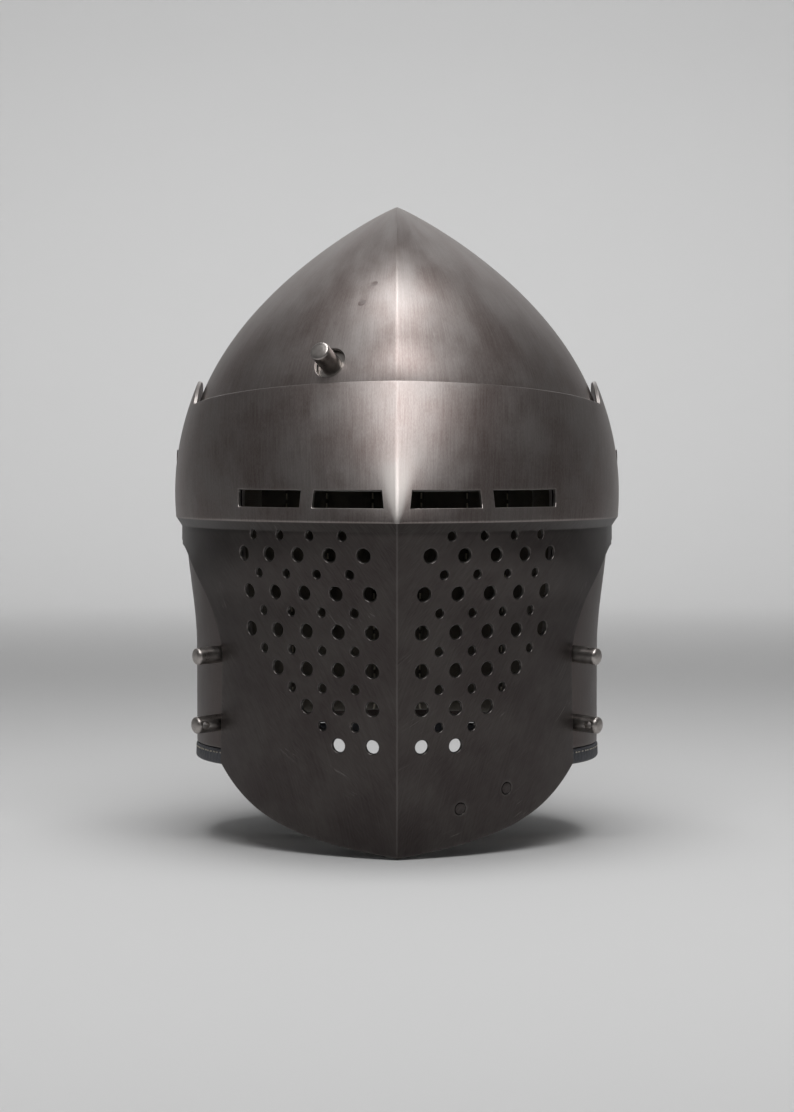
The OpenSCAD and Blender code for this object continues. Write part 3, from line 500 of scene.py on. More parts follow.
def lathe(name, profile, matrix, count=48, mirrored=False, sharp=40):
    """Turned piece from a profile of radius and height; ends on the axis are closed."""
    points, faces, places, rings, run = [], [], [], [], 0.0
    for k, (r, z) in enumerate(profile):
        run += math.dist(profile[k - 1], (r, z)) if k else 0
        if r < 1e-6:
            rings.append([len(points)] * count)
            points.append((0, 0, z))
            places.append((0, run, 0))
            continue
        rings.append(list(range(len(points), len(points) + count)))
        for i in range(count):
            angle = 2 * math.pi * i / count
            points.append((r * math.cos(angle), r * math.sin(angle), z))
            places.append((angle * r, run, 0))
    for a, b in zip(rings, rings[1:]):
        for i in range(count):
            j = (i + 1) % count
            face = [a[i], b[i], b[j], a[j]]
            faces.append([v for k, v in enumerate(face) if v not in face[:k]])
    placed = [matrix @ Vector(p) for p in points]
    if mirrored:
        placed = [Vector((-p.x, p.y, p.z)) for p in placed]
    return mesh_object(name, placed, outward(placed, faces), places=places, sharp=sharp)


def sweep(name, rings, places=None, sharp=None):
    """Closed band through rings of corners, each an array of points in millimetres."""
    n, k = len(rings[0]), len(rings)
    faces = [[j * n + i, j * n + n + i, j * n + n + (i + 1) % n, j * n + (i + 1) % n]
             for j in range(k - 1) for i in range(n)]
    faces += [list(range(n)), list(range((k - 1) * n, k * n))[::-1]]
    points = np.concatenate(rings)
    return mesh_object(name, points, outward(points, faces), places=places, sharp=sharp)


def drilled(obj, cutters, bevel=0.0):
    """obj with the cutters taken out of it and its sharp edges rounded; the cutters are deleted."""
    for cutter in cutters:
        modifier = obj.modifiers.new("drill", "BOOLEAN")
        modifier.operation, modifier.solver, modifier.object = "DIFFERENCE", "EXACT", cutter
    if bevel:
        modifier = obj.modifiers.new("bevel", "BEVEL")
        modifier.width, modifier.segments, modifier.limit_method = bevel * MM, 2, "ANGLE"
        modifier.angle_limit = math.radians(50)
    graph = bpy.context.evaluated_depsgraph_get()
    mesh = bpy.data.meshes.new_from_object(obj.evaluated_get(graph))
    obj.modifiers.clear()
    obj.data = mesh
    mesh.set_sharp_from_angle(angle=math.radians(40))
    for cutter in cutters:
        bpy.data.objects.remove(cutter)
    return obj


def section(width, thick, radius, steps=3):
    """Rounded rectangle as corners [across, up], counterclockwise."""
    found = []
    for cx, cy, turn in ((1, -1, -90), (1, 1, 0), (-1, 1, 90), (-1, -1, 180)):
        for i in range(steps + 1):
            a = math.radians(turn + 90 * i / steps)
            found.append((cx * (width / 2 - radius) + radius * math.cos(a),
                          cy * (thick / 2 - radius) + radius * math.sin(a)))
    return np.array(found)


# Share of a stitch's length and of its radius
THREAD_PROFILE = [(0, 0.45), (0.14, 0.9), (0.5, 1), (0.86, 0.9), (1, 0.45)]


def thread(name, stitches, radius, sides=6):
    """Stitches as small rounded bars, from pairs of ends in millimetres."""
    points, faces, places = [], [], []
    for start, end in stitches:
        start, end = Vector(start), Vector(end)
        along = (end - start).normalized()
        across = along.orthogonal().normalized()
        up = along.cross(across)
        first = len(points)
        for t, r in THREAD_PROFILE:
            for i in range(sides):
                a = 2 * math.pi * i / sides
                way = across * math.cos(a) + up * math.sin(a)
                points.append(tuple(start.lerp(end, t) + way * radius * r))
                places.append((i, 10 * t, 0))
        for j in range(len(THREAD_PROFILE) - 1):
            for i in range(sides):
                a, b = first + j * sides + i, first + j * sides + (i + 1) % sides
                faces.append([a, b, b + sides, a + sides])
        faces += [list(range(first, first + sides))[::-1],
                  list(range(len(points) - sides, len(points)))]
    return mesh_object(name, points, outward(points, faces), places=places)


def circle_on(shell, place, d, count):
    """Loop of places round a drilled hole, clockwise, so that the plate is on its left."""
    p = np.array([place], float)
    n = normals(shell, p)[0]
    across = np.cross([0, 0, 1], n)
    across /= np.linalg.norm(across)
    up = np.cross(n, across)
    angle = -np.arange(count) / count * 2 * math.pi
    way = np.cos(angle)[:, None] * across + np.sin(angle)[:, None] * up
    return shell.place(shell.point(p) + d / 2 * way)


def spaced(points, gap):
    """Points along a line of corners, no further apart than a gap."""
    found = [np.array(points[0], float)]
    for a, b in zip(points, points[1:]):
        a, b = np.array(a, float), np.array(b, float)
        k = max(1, int(math.ceil(np.linalg.norm(b - a) / gap)))
        found += [a + (b - a) * i / k for i in range(1, k + 1)]
    return np.array(found)


def apart(line, gap):
    """Line without the points that lie closer than a gap to the one before."""
    keep = np.linalg.norm(np.diff(line, axis=0), axis=1) > gap
    keep[-1] = True
    return line[np.concatenate([[True], keep])]


# Visor

# Both plates: inset, depth and wear of the rings along an edge, and the grid's step
EDGE = 0.4
PLATE_PROFILE = [(EDGE, 0, 0.4), (0, EDGE, 1), (0, PLATE - EDGE, 1), (EDGE, PLATE, 0.3)]
BREATH_PROFILE = [(0.7, 0, 0.15), (0, 0.7, 1), (0, PLATE - EDGE, 1), (EDGE, PLATE, 0.3)]
GRID, LINE_GAP, LEAST_GAP = 2.6, 2.5, 0.3
# Levels kept beside a fold, and a distance round the visor that no place passes
CRISP, FAR_ROUND = 0.4, 260
# Distance from a ridge of the line that keeps it crisp, and the wear on the ridge itself
RIDGE_RAIL, RIDGE_WEAR, FACE_WEAR = 1.0, 0.3, 0.55
# Room round the pieces in drilled holes, and the sharp wall of holes whose rivets are ground flush
HOLE_ROOM, FLUSH_ROOM = 0.1, 0.03
FLUSH_PROFILE = [(0.05, 0, 0), (0, 0.05, 0), (0, PLATE - 0.05, 0), (0.05, PLATE, 0)]


def chin_rise(t):
    return 0.55 * t + 0.45 * t ** 3.6


def visor_outline():
    """Edge of the visor's right half as depth and height, from the ridge's foot to its top."""
    chin_fore = float(visor_front(-CHIN_DROP))
    chin = [(-mix(chin_fore, CORNER_FORE, t), -mix(CHIN_DROP, CORNER_DROP, chin_rise(t)))
            for t in np.linspace(0, 1, 40)]
    sweep_line = [(-SWEEP_FORE - SWEEP_R * math.cos(a), -SWEEP_DROP + SWEEP_R * math.sin(a))
                  for a in np.linspace(0, math.pi / 2, 40)]
    sweep_line = [p for p in sweep_line if math.hypot(*p) > EAR_R]
    start = math.atan2(sweep_line[-1][1], sweep_line[-1][0])
    brow_fore = float(visor_front(BROW_TOP))
    slope = (BROW_TOP - BROW_SIDE) / (brow_fore - BROW_BACK)

    def brow_edge(y):
        return BROW_SIDE - (y + BROW_BACK) * slope

    ear = []
    for a in np.linspace(start, 3 * math.pi, 400):
        y, z = EAR_R * math.cos(a), EAR_R * math.sin(a)
        if z > 0 and y < 0 and z < brow_edge(y):
            break
        ear.append((y, z))
    top = [(y, brow_edge(y)) for y in np.arange(ear[-1][0] - 1, -brow_fore, -2.0)]
    return spaced(chin + sweep_line + ear + top + [(-brow_fore, BROW_TOP)], LINE_GAP)


def make_visor():
    shell = Visor()
    line = visor_outline()[1:-1]
    line = np.column_stack([shell.from_side(line[:, 0], line[:, 1]), line[:, 1]])
    edge = apart(np.concatenate([[[0, -CHIN_DROP]], line, [[0, BROW_TOP]]]), LEAST_GAP)
    # Levels that keep the beak and the ledge under it crisp
    crisp = np.array([z + d for z in (BEAK_Z, LEDGE_Z) for d in (CRISP, 0, -CRISP)])
    levels = np.arange(-CHIN_DROP + GRID, BROW_TOP - 1, GRID)
    levels = levels[np.abs(levels[:, None] - crisp).min(1) > 2 * CRISP]
    every = np.sort(np.concatenate([levels, crisp]))[::-1]
    across = np.concatenate([[RIDGE_RAIL], np.arange(GRID, FAR_ROUND, GRID)])
    rows = [np.column_stack([across, np.full(len(across), z)]) for z in crisp]
    rows.append(np.column_stack([np.full(len(levels), RIDGE_RAIL), levels]))
    halves = []
    for side in (1, -1):
        sheet = Sheet(shell, PLATE_PROFILE, GRID)
        rim = sheet.wall(edge, False, rails=[(0, (0, 1)), (-1, (0, -1))])
        holes = [sheet.wall(loop, True, profile=profile)
                 for loop, profile in visor_holes(shell, side)]
        ridge_wear = np.where(every > BEAK_Z, RIDGE_WEAR, FACE_WEAR)
        ridge = sheet.add_pair(np.column_stack([np.zeros(len(every)), every]), ridge_wear)
        sheet.skin([np.concatenate(pair) for pair in zip(rim, ridge)], holes, rows)
        halves.append(sheet.build())
    return mesh_object("visor_plate", *both_halves(*halves))


def breath_from(z):
    splay = max(0, (z + BREATH_EVEN) / (BREATH_EVEN - BREATH_FIRST)) ** 2
    return BREATH_START + BREATH_SPLAY * splay


# Shares of the slant that the ends of the inner and outer sight take
SIGHT_ENDS = (-0.6, 1), (1, 0.5)
# Of large and small breaths: share of a pitch by which they are shifted, diameter and corners
BREATH_KINDS = (0, BREATH_LARGE, 28), (0.5, BREATH_SMALL, 22)


def visor_holes(shell, side):
    """Loops and profiles of the sights, breaths, pivot hole and, on the right, rivet holes."""
    low, top = -SIGHT_DROP - SIGHT_H / 2, -SIGHT_DROP + SIGHT_H / 2
    inner_end = SIGHT_START + SIGHT_INNER
    outer = inner_end + SIGHT_BAR
    loops = []
    sights = (SIGHT_START, inner_end), (outer, outer + SIGHT_OUTER)
    for (a, b), (slant_a, slant_b) in zip(sights, SIGHT_ENDS):
        corners = [(a, top), (b, top),
                   (b + slant_b * SIGHT_SLANT, low), (a + slant_a * SIGHT_SLANT, low)]
        loops.append((spaced(corners + corners[:1], 2.2)[:-1], PLATE_PROFILE))
    for row, counts in enumerate(zip(LARGE_IN_ROW, SMALL_IN_ROW)):
        for count, (shift, d, corners) in zip(counts, BREATH_KINDS):
            z = -BREATH_FIRST - row * BREATH_PITCH_Z + shift * BREATH_PITCH_Z
            for i in range(count):
                place = (breath_from(z) + (i + shift) * BREATH_PITCH_S, z)
                loops.append((circle_on(shell, place, d, corners), BREATH_PROFILE))
    pivot = shell.place(np.array([[float(visor_half(0.0)), 0, 0]]))[0]
    drilled_at = [(pivot, PIVOT_HEAD_D, 48)]
    if side > 0:
        drilled_at += [(place, CHIN_RIVET_D, 36) for place in CHIN_RIVETS]
    return loops + [(circle_on(shell, place, d + HOLE_ROOM, corners), PLATE_PROFILE)
                    for place, d, corners in drilled_at]


# Skull

# How far up the skull the grid goes; from there a fan closes on the point, whose inner one
# lies this much deeper
CAP_V, TIP_DEPTH = 0.985, 1.3 * PLATE


def skull_place_y(shell, y, z):
    """Place of the skull's right front that has this depth and height."""
    y, z = np.asarray(y, float), np.asarray(z, float)
    _, mid, rf, _, af, _ = shell.arcs(z)
    a = np.arccos(np.clip((mid - y) / rf, -1, 1))
    return np.stack([(a - af) / (math.pi / 2 - af) * shell.U_MM, shell.level(z) * shell.V_MM], -1)


def latch_place(shell, up):
    """Place on the skull above the latch, at the latch's own angle."""
    w, _, rf, *_ = shell.arcs(np.array(LATCH_Z))
    a = math.asin((LATCH_X + rf - w) / rf)
    z = np.array(LATCH_Z + up)
    *_, af, _ = shell.arcs(z)
    u = (a - af) / (math.pi / 2 - af)
    return np.array([u * shell.U_MM, float(shell.level(z)) * shell.V_MM])


def strap_place(shell):
    return skull_place_y(shell, -STRAP_FORE, STRAP_Z)


def on_shell(shell, place):
    """Point and outward normal at a place."""
    p = np.array([place], float)
    return shell.point(p)[0], normals(shell, p)[0]


def round_corner(a, b, c, r, count=7):
    """Arc of radius r that rounds the corner b between its neighbours a and c."""
    a, b, c = (np.array(p, float) for p in (a, b, c))
    back, on = (a - b) / np.linalg.norm(a - b), (c - b) / np.linalg.norm(c - b)
    half = math.acos(float(np.clip(back @ on, -1, 1))) / 2
    middle = b + (back + on) / np.linalg.norm(back + on) * r / math.sin(half)
    start, end = b + back * r / math.tan(half) - middle, b + on * r / math.tan(half) - middle
    turn = math.acos(float(np.clip(start @ end / r ** 2, -1, 1)))
    ways = (math.sin(turn * (1 - t)) * start + math.sin(turn * t) * end
            for t in np.linspace(0, 1, count))
    return [tuple(middle + way / math.sin(turn)) for way in ways]


def opening_line(shell, out, foot):
    """Edge of the face opening, moved out by a distance, from the ridge down to its foot."""
    top, edge, r = FACE_TOP + out, -FACE_EDGE + out, FACE_CORNER
    line = [(-2 * SKULL_REACH, top)] + [(edge - r + r * math.sin(a), top - r + r * math.cos(a))
                                        for a in np.linspace(0, math.pi / 2, 16)]
    line = spaced(line + foot, LINE_GAP)
    line = line[line[:, 0] > skull_front(line[:, 1]) + 0.05]
    start = np.array([[0, float(shell.level(np.array(top))) * shell.V_MM]])
    return np.concatenate([start, skull_place_y(shell, line[:, 0], line[:, 1])])


def skull_drill(shell, side):
    """Loops and profiles of the skull's holes on one side."""
    pivot = shell.place(np.array([[float(skull_half(0.0)), 0.0, 0.0]]))[0]
    holes = [(skull_place_y(shell, y, -drop), PEG_D * 0.6 + HOLE_ROOM, 24, PLATE_PROFILE)
             for drop, y, _ in PEGS.values()]
    holes += [(pivot, PIVOT_D + HOLE_ROOM, 32, PLATE_PROFILE),
              (strap_place(shell), STRAP_RIVET_D + FLUSH_ROOM, 28, FLUSH_PROFILE)]
    if side < 0:
        holes.append((latch_place(shell, 0), LATCH_HOLE_D, 56, PLATE_PROFILE))
        holes += [(latch_place(shell, up), LEAF_RIVET_D + FLUSH_ROOM, 24, FLUSH_PROFILE)
                  for up in LEAF_RIVETS]
    return [(circle_on(shell, place, d, corners), profile) for place, d, corners, profile in holes]


def skull_half_sheet(sheet, edge, loops, cap_v, rail_us):
    """Skins a half from its lower edge to the crown, with lines of points on some meridians."""
    shell = sheet.shell
    far, cap = 2 * shell.U_MM, cap_v * shell.V_MM
    rim = sheet.wall(edge, False, rails=[(0, (0, 1)), (-1, (0, 1))])
    holes = [sheet.wall(loop, True, profile=profile) for loop, profile in loops]
    first, last = sheet.places[rim[0][[0, -1]], 1]
    front = np.arange(first + sheet.step, cap - 1, sheet.step)
    back = np.arange(last + sheet.step, cap - 1, sheet.step)
    crown = np.linspace(far, 0, 60)
    seam = np.concatenate([np.column_stack([np.full(len(back), far), back]),
                           np.column_stack([crown, np.full(len(crown), cap)]),
                           np.column_stack([np.zeros(len(front)), front[::-1]])])
    pair = sheet.add_pair(seam, np.where(shell.ridge(seam), RIDGE_WEAR, 0))
    rows = [np.column_stack([np.full(len(back), u), back]) for u in rail_us]
    sheet.skin([np.concatenate(both) for both in zip(rim, pair)], holes, rows)
    return [ring[len(back):len(back) + len(crown)] for ring in pair]


def close_crown(half, rings, tips):
    """Adds the fans that close a half's crown on its points, outside and inside."""
    points, faces, corners, places = half
    for ring, tip, up in zip(rings, tips, (1, -1)):
        number = len(points)
        points = np.concatenate([points, [tip]])
        places = np.concatenate([places, [[Skull.U_MM, Skull.V_MM, RIDGE_WEAR]]])
        for a, b in zip(ring, ring[1:]):
            faces.append([int(b), number, int(a)][::up])
            corners.extend([(0, 0, up)] * 3)
    return points, faces, corners, places


def make_skull():
    shell = Skull()
    far = 2 * shell.U_MM
    opening = opening_line(shell, 0, [(-FACE_EDGE, RIM_Z)])
    foot = spaced([opening[-1], (far, 0)], GRID)[1:]
    edge = apart(np.concatenate([opening, foot]), LEAST_GAP)
    rails = [RIDGE_RAIL, far - RIDGE_RAIL]
    tips = [[0, APEX_BACK, APEX_Z - depth] for depth in (0, TIP_DEPTH)]
    halves = []
    for side in (1, -1):
        sheet = Sheet(shell, PLATE_PROFILE, GRID)
        rings = skull_half_sheet(sheet, edge, skull_drill(shell, side), CAP_V, rails)
        halves.append(close_crown(sheet.build(), rings, tips))
    return mesh_object("skull_plate", *both_halves(*halves))


# Liner

LINER_DEPTH = PLATE + LINER_GAP
LINER_LOW = RIM_Z + LINER_RAISE
# Sewn channels over a half, their width, and lines of points beside the middle of each
CHANNELS, BESIDE = 11, (-2.2, 0, 2.2)
CHANNEL = 2 * Skull.U_MM / CHANNELS
# The padded edge is half an oval: how far in it starts, and its rings
LINER_ROLL, LINER_RINGS = 6.0, 8
# Grid, least distance of points on the edge, place of the cap, and extra depth at the crown
LINER_STEP, LINER_LEAST, LINER_CAP_V, LINER_CROWN = 3.6, 0.6, 0.975, 1.3
# Dents: width over which they fade, its end outside them, reach, and the least padding under them
DENT_FADE, DENT_EDGE, DENT_REACH, DENT_LEAST = 3.5, 4.5, 40, 2
LINER_PROFILE = [(LINER_ROLL * (1 - math.sin(a)), LINER_T / 2 * (1 - math.cos(a)), 0)
                 for a in np.linspace(0, math.pi, LINER_RINGS + 1)]


class Liner(Skull):
    """The liner's outer face; its thickness runs towards the middle of the head."""

    def point(self, p):
        u, z = p[:, 0] / self.U_MM, self.height(p[:, 1] / self.V_MM)
        w, mid, rf, rb, _, _ = self.arcs(z)
        lean = np.radians(75 * rise(z) ** 1.5)
        d = LINER_DEPTH * np.cos(lean)
        front = u <= 1
        r = np.where(front, rf, rb)
        first = np.arcsin(np.clip((r - w) / (r - d), -1, 1))
        a = mix(first, math.pi / 2, np.where(front, u, 2 - u))
        y = mid + np.where(front, -1, 1) * (r - d) * np.cos(a)
        return np.stack([(r - d) * np.sin(a) - (r - w), y, z - LINER_DEPTH * np.sin(lean)], 1)

    def lines(self, p):
        x, y, z = self.point(p).T
        down = np.maximum(0, z - WIDEST_Z) * LINER_CROWN / (APEX_Z - WIDEST_Z)
        return np.stack([2 * x / SKULL_W, 2 * (y - skull_mid(z)) / SKULL_W, down], 1)


def channel_groove(u):
    """Depth of the quilting as a share, 1 on the stitched lines and 0 on the crests between."""
    s = np.abs((u % CHANNEL) / (CHANNEL / 2) - 1)
    return 1 - (1 - (1 - s) ** 2.4) ** 0.6


def liner_dents(side):
    """Where hardware presses into the liner's back: middle, axis, radius, depth under the skull."""
    shell = Skull()
    pivot = np.array([float(skull_half(0.0)), 0, 0])
    spots = [(skull_place_y(shell, y, -drop), PEG_D / 2 + 3, PEG_TAIL + 1.5)
             for drop, y, _ in PEGS.values()]
    if side < 0:
        spots.append((latch_place(shell, 0), FLANGE_D / 2 + 2.5, LEAF_TOP + LATCH_OUT + 2.5))
        spots += [(latch_place(shell, up), LEAF_W / 2 + 2, 9.0) for up in range(-4, 45, 8)]
    return ([(pivot, np.array([1.0, 0, 0]), PIVOT_NUT_ROOM / 2, 16.5)]
            + [(*on_shell(shell, place), r, depth) for place, r, depth in spots])


def make_liner():
    shell = Liner()
    far = 2 * shell.U_MM
    front, back = -FACE_EDGE + LINER_FACE, NOTCH_BACK
    foot = round_corner((front, 0), (front, NOTCH_TOP), (back, NOTCH_TOP), 2 * LINER_ROLL)
    foot += [(back - 3, NOTCH_TOP), (back, NOTCH_TOP - 3)]
    foot += round_corner((back, NOTCH_TOP), (back, LINER_LOW), (APEX_BACK, LINER_LOW),
                         2 * LINER_ROLL)
    opening = opening_line(shell, LINER_FACE, foot)
    low_v = float(shell.level(np.array(LINER_LOW))) * shell.V_MM
    low = spaced([opening[-1], (far, low_v)], LINER_STEP)[1:]
    edge = apart(np.concatenate([opening, low]), LINER_LEAST)
    lines = [CHANNEL * (k + 0.5) + d for k in range(CHANNELS) for d in BESIDE]
    tip = np.array([0, APEX_BACK, APEX_Z - 2 * LINER_DEPTH])
    mid = float(skull_mid(tip[2]))
    drop = (tip[2] - WIDEST_Z) * LINER_CROWN * LINER_T / (APEX_Z - WIDEST_Z)
    inside = [0, mid + (tip[1] - mid) * (1 - LINER_T / (SKULL_W / 2)), tip[2] - drop]
    halves = []
    for side in (1, -1):
        dents = liner_dents(side)

        def shape(places, depths, surface):
            """Depths of the padding, with channels and puckers inside and dents outside."""
            u, v = places.T
            fade = 1 - rise(surface[:, 2])
            pucker = (np.sin(v * 0.21 + 2.1 * np.sin(u * 0.05))
                      * np.sin(u * 0.13 + 1.7 * np.sin(v * 0.04))
                      + 0.5 * np.sin(v * 0.47 + u * 0.11 + side))
            inner = LINER_T - QUILT * channel_groove(u) * fade - 0.5 * np.abs(pucker) * fade
            outer = np.zeros(len(u))
            for p, n, r, depth in dents:
                away = surface - p
                off = np.linalg.norm(away - (away @ n)[:, None] * n, axis=1)
                near = np.linalg.norm(away, axis=1) < DENT_REACH
                press = (depth - LINER_DEPTH) * smooth((r + DENT_EDGE - off) / DENT_FADE) * near
                outer = np.maximum(outer, press)
            return outer + depths / LINER_T * (np.maximum(inner, outer + DENT_LEAST) - outer)

        sheet = Sheet(shell, LINER_PROFILE, LINER_STEP)
        rings = skull_half_sheet(sheet, edge, [], LINER_CAP_V, lines)
        halves.append(close_crown(sheet.build(shape), rings, [tip, inside]))
    points, faces, _, places = both_halves(*halves)
    return mesh_object("padded_liner", points, faces, places=places)


# Hem

# Distance between stitches, their place under the rim, half length and radius
STITCH, STITCH_DOWN, STITCH_HALF, STITCH_R = 3.6, 2.0, 0.9, 0.42
# Groove that the stitches pull in: depth, change of depth along it, and half height
GROOVE, PUCKER, GROOVE_H = 0.45, 0.28, 0.8


def hem_line():
    """Stations of the rim's right half, from cheek to nape, as hem_point takes them."""
    w, mid, rf, rb, _, ab = (float(v) for v in Skull().arcs(np.array(RIM_Z)))
    start = math.acos((mid + FACE_EDGE - 4) / rf)
    found = [(mid, rf, w, a, -1) for a in np.linspace(start, math.pi / 2, 90)]
    return found + [(mid, rb, w, a, 1) for a in np.linspace(math.pi / 2, ab, 110)[1:]]


def hem_point(station, out, z):
    mid, r, w, a, side = station
    return ((r + out) * math.sin(a) - r + w, mid + side * (r + out) * math.cos(a), z)


def make_hem():
    """Rolled edge under the skull's rim, with a row of stitches near its top."""
    right = hem_line()
    line = [(s, 1) for s in right] + [(s, -1) for s in right[-2::-1]]
    inner, top = -PLATE - HEM_IN, RIM_Z - SOFT_GAP
    shape = section(HEM_PROUD - inner - 0.1, HEM_H, 1.7, 4)
    middle = (inner + HEM_PROUD) / 2

    def on_hem(k, out, z):
        x, y, z = hem_point(line[k][0], out, z)
        return line[k][1] * x, y, z

    rings, places, run, last = [], [], 0.0, None
    stitches, due = [], STITCH
    for k in range(len(line)):
        at = Vector(on_hem(k, 0, top))
        run += (at - last).length if last else 0
        last = at
        from_end = min(k, len(line) - 1 - k)
        plump = 0.55 + 0.45 * math.sqrt(min(1, from_end / 3))
        depth = GROOVE - PUCKER * math.cos(2 * math.pi * run / STITCH)
        ring = []
        for across, up in shape:
            out, z = middle + across * plump, top - HEM_H / 2 + up * (0.4 + 0.6 * plump)
            if across > 0:
                out -= depth * math.exp(-((z - top + STITCH_DOWN) / GROOVE_H) ** 2)
            ring.append(on_hem(k, out, z))
        rings.append(np.array(ring))
        around = np.linspace(0, 28, len(ring))
        places.append(np.column_stack([np.full(len(ring), run), around]))
        if run >= due and from_end > 2:
            due += STITCH
            a, b = (Vector(on_hem(j, HEM_PROUD - STITCH_R, top - STITCH_DOWN)) for j in (k - 1, k))
            half = (b - a).normalized() * STITCH_HALF
            stitches.append((b - half, b + half))
    hem = sweep("rolled_hem", rings, places=np.concatenate(places))
    return hem, thread("hem_stitches", stitches, STITCH_R)


# Chin strap

def strap_anchor():
    p, n = on_shell(Skull(), strap_place(Skull()))
    return p - n * (PLATE + STRAP_GAP + STRAP_T / 2)


STRAP_P = strap_anchor()
LAYER = STRAP_T + SOFT_GAP
# Stations along a band, and those at each end without stitches
STRAP_STATIONS, STRAP_END = 110, 6
# Distance between stitches, of their row from the edge, half length and radius
STRAP_STITCH, STRAP_SEAM, STRAP_STITCH_HALF, STRAP_STITCH_R = 4.0, 2.4, 1.25, 0.26


def strap_angle_at_rivet():
    _, mid, rf, *_ = (float(v) for v in Skull().arcs(np.array(STRAP_Z)))
    return math.acos((mid + STRAP_FORE) / rf)


STRAP_TURN = math.pi / 2 - strap_angle_at_rivet()


def strap_path(t):
    """Middle line of the strap, from -90 degrees under the left rivet to 90 under the right."""
    a = math.radians(t)
    return np.array([STRAP_P[0] * math.copysign(abs(math.sin(a)) ** 0.8, t),
                     STRAP_P[1] - STRAP_LEAD * math.cos(a) ** 2,
                     STRAP_Z - STRAP_HEAD - STRAP_SAG * abs(math.cos(a)) ** 0.8])


def strap_frame(t):
    """Directions along the strap, across it and through it."""
    ahead = strap_path(t + 1) - strap_path(t - 1)
    along = np.array([0, 0, math.copysign(1, t)]) if abs(t) > 88 else ahead / np.linalg.norm(ahead)
    turn = STRAP_TURN * (abs(t) / 90) ** 2 * math.copysign(1, t)
    flat = np.array([math.sin(turn), math.cos(turn), 0])
    u = flat - along * (flat @ along)
    u /= np.linalg.norm(u)
    return along, u, np.cross(along, u)


STRAP_RATE = float(np.linalg.norm(strap_path(STUD_T + 1) - strap_path(STUD_T - 1))) / 2


def strap_angle(s):
    return STUD_T + s / STRAP_RATE


def strap_matrix(s, out=0.0):
    along, u, through = strap_frame(strap_angle(s))
    p = strap_path(strap_angle(s)) + through * out
    return Matrix([[along[i], u[i], through[i], p[i]] for i in range(3)] + [[0, 0, 0, 1]])


def make_strap(name, first, last, head_at, out_at, holes):
    """Leather band between two angles, with rounded edges, a rivet hole and holes for the stud."""
    shape = section(STRAP_W, STRAP_T, 0.7, 3)
    lengths = [float(np.linalg.norm(b - a)) for a, b in zip(shape, shape[1:])]
    around = np.cumsum([0] + lengths)
    line = [(t, 0.0) for t in np.linspace(first, last, STRAP_STATIONS)]
    head = [(head_at, e) for e in np.linspace(0, 2 * STRAP_HEAD, 8)[1:]]
    side = 1 if head_at > 0 else -1
    line = line + head if side > 0 else head[::-1] + line
    rings, places, run, last_p = [], [], 0.0, None
    for k, (t, extra) in enumerate(line):
        _, u, through = strap_frame(t)
        p = strap_path(t) + np.array([0, 0, extra]) - through * out_at(t)
        run += float(np.linalg.norm(p - last_p)) if last_p is not None else 0
        last_p = p
        end = min(1.0, (min(k, len(line) - 1 - k) + 0.6) / 4)
        wide, thick = 1 - 0.28 * (1 - math.sqrt(1 - (1 - end) ** 2)), 0.75 + 0.25 * end
        rings.append(np.array([p + u * across * wide + through * up * thick
                               for across, up in shape]))
        places.append(np.column_stack([np.full(len(shape), run), around, np.zeros(len(shape))]))
    strap = sweep(name, rings, places=np.concatenate(places))

    def cutter(r, low, high, matrix, mirrored=False):
        return lathe("cutter", [(0, low), (r, low), (r, high), (0, high)], matrix, 24, mirrored)

    rivet = stand_on(*on_shell(Skull(), strap_place(Skull())))
    cutters = [cutter(STRAP_RIVET_D / 2 + 0.1, -12, 2, rivet, side < 0)]
    cutters += [cutter(STUD_NECK_D / 2 + 0.05, -3, 3, strap_matrix(s, out)) for s, out in holes]
    drilled(strap, cutters)
    stitches, run = [], 0.0
    for k in range(STRAP_END + 1, len(line) - STRAP_END):
        p = rings[k].mean(0)
        step = float(np.linalg.norm(p - rings[k - 1].mean(0)))
        if (run + step) // STRAP_STITCH > run // STRAP_STITCH:
            along, u, through = strap_frame(line[k][0])
            half = along * STRAP_STITCH_HALF
            for edge in (-1, 1):
                for face in (-1, 1):
                    q = (p + u * edge * (STRAP_W / 2 - STRAP_SEAM)
                         + through * face * (STRAP_T / 2 - 0.05))
                    stitches.append((q - half, q + half))
        run += step
    return strap, thread(name + "_stitches", stitches, STRAP_STITCH_R)


def right_out(t):
    """How far the right half lies under the left one, until it comes up level past its end."""
    return LAYER * (1 - float(smooth((t - strap_angle(LEFT_END + 4)) / 24)))


def make_keeper():
    """Loop of leather round both strap halves."""
    wall, room, wide = 1.4, STRAP_T + LAYER + 3 * SOFT_GAP, STRAP_W + 2 * SOFT_GAP
    half, edge, corner = 3.5, 0.35, 0.4
    matrix = strap_matrix(KEEPER_AT, -LAYER / 2)
    outer = section(wide + 2 * wall, room + 2 * wall, 1.6, 4)
    inner = section(wide, room, 0.5, 4)
    rings = [(outer, inset_by, x) for inset_by, x in
             ((edge, -half), (0, -half + corner), (0, half - corner), (edge, half))]
    rings += [(inner, 0, half), (inner, 0, -half)]
    points, faces, places = [], [], []
    n, count = len(outer), len(rings)
    for ring, inset_by, x in rings:
        for i, (y, z) in enumerate(ring):
            at = (x, y * (1 - inset_by / (wide / 2)), z * (1 - inset_by / (room / 2)))
            points.append(matrix @ Vector(at))
            places.append((i * 2.0, x, 0))
    for j in range(count):
        for i in range(n):
            a, b = j * n + i, j * n + (i + 1) % n
            c, d = (j + 1) % count * n + (i + 1) % n, (j + 1) % count * n + i
            faces.append([a, b, c, d])
    return mesh_object("keeper_loop", points, outward(points, faces), places=places, sharp=50)


# Fittings

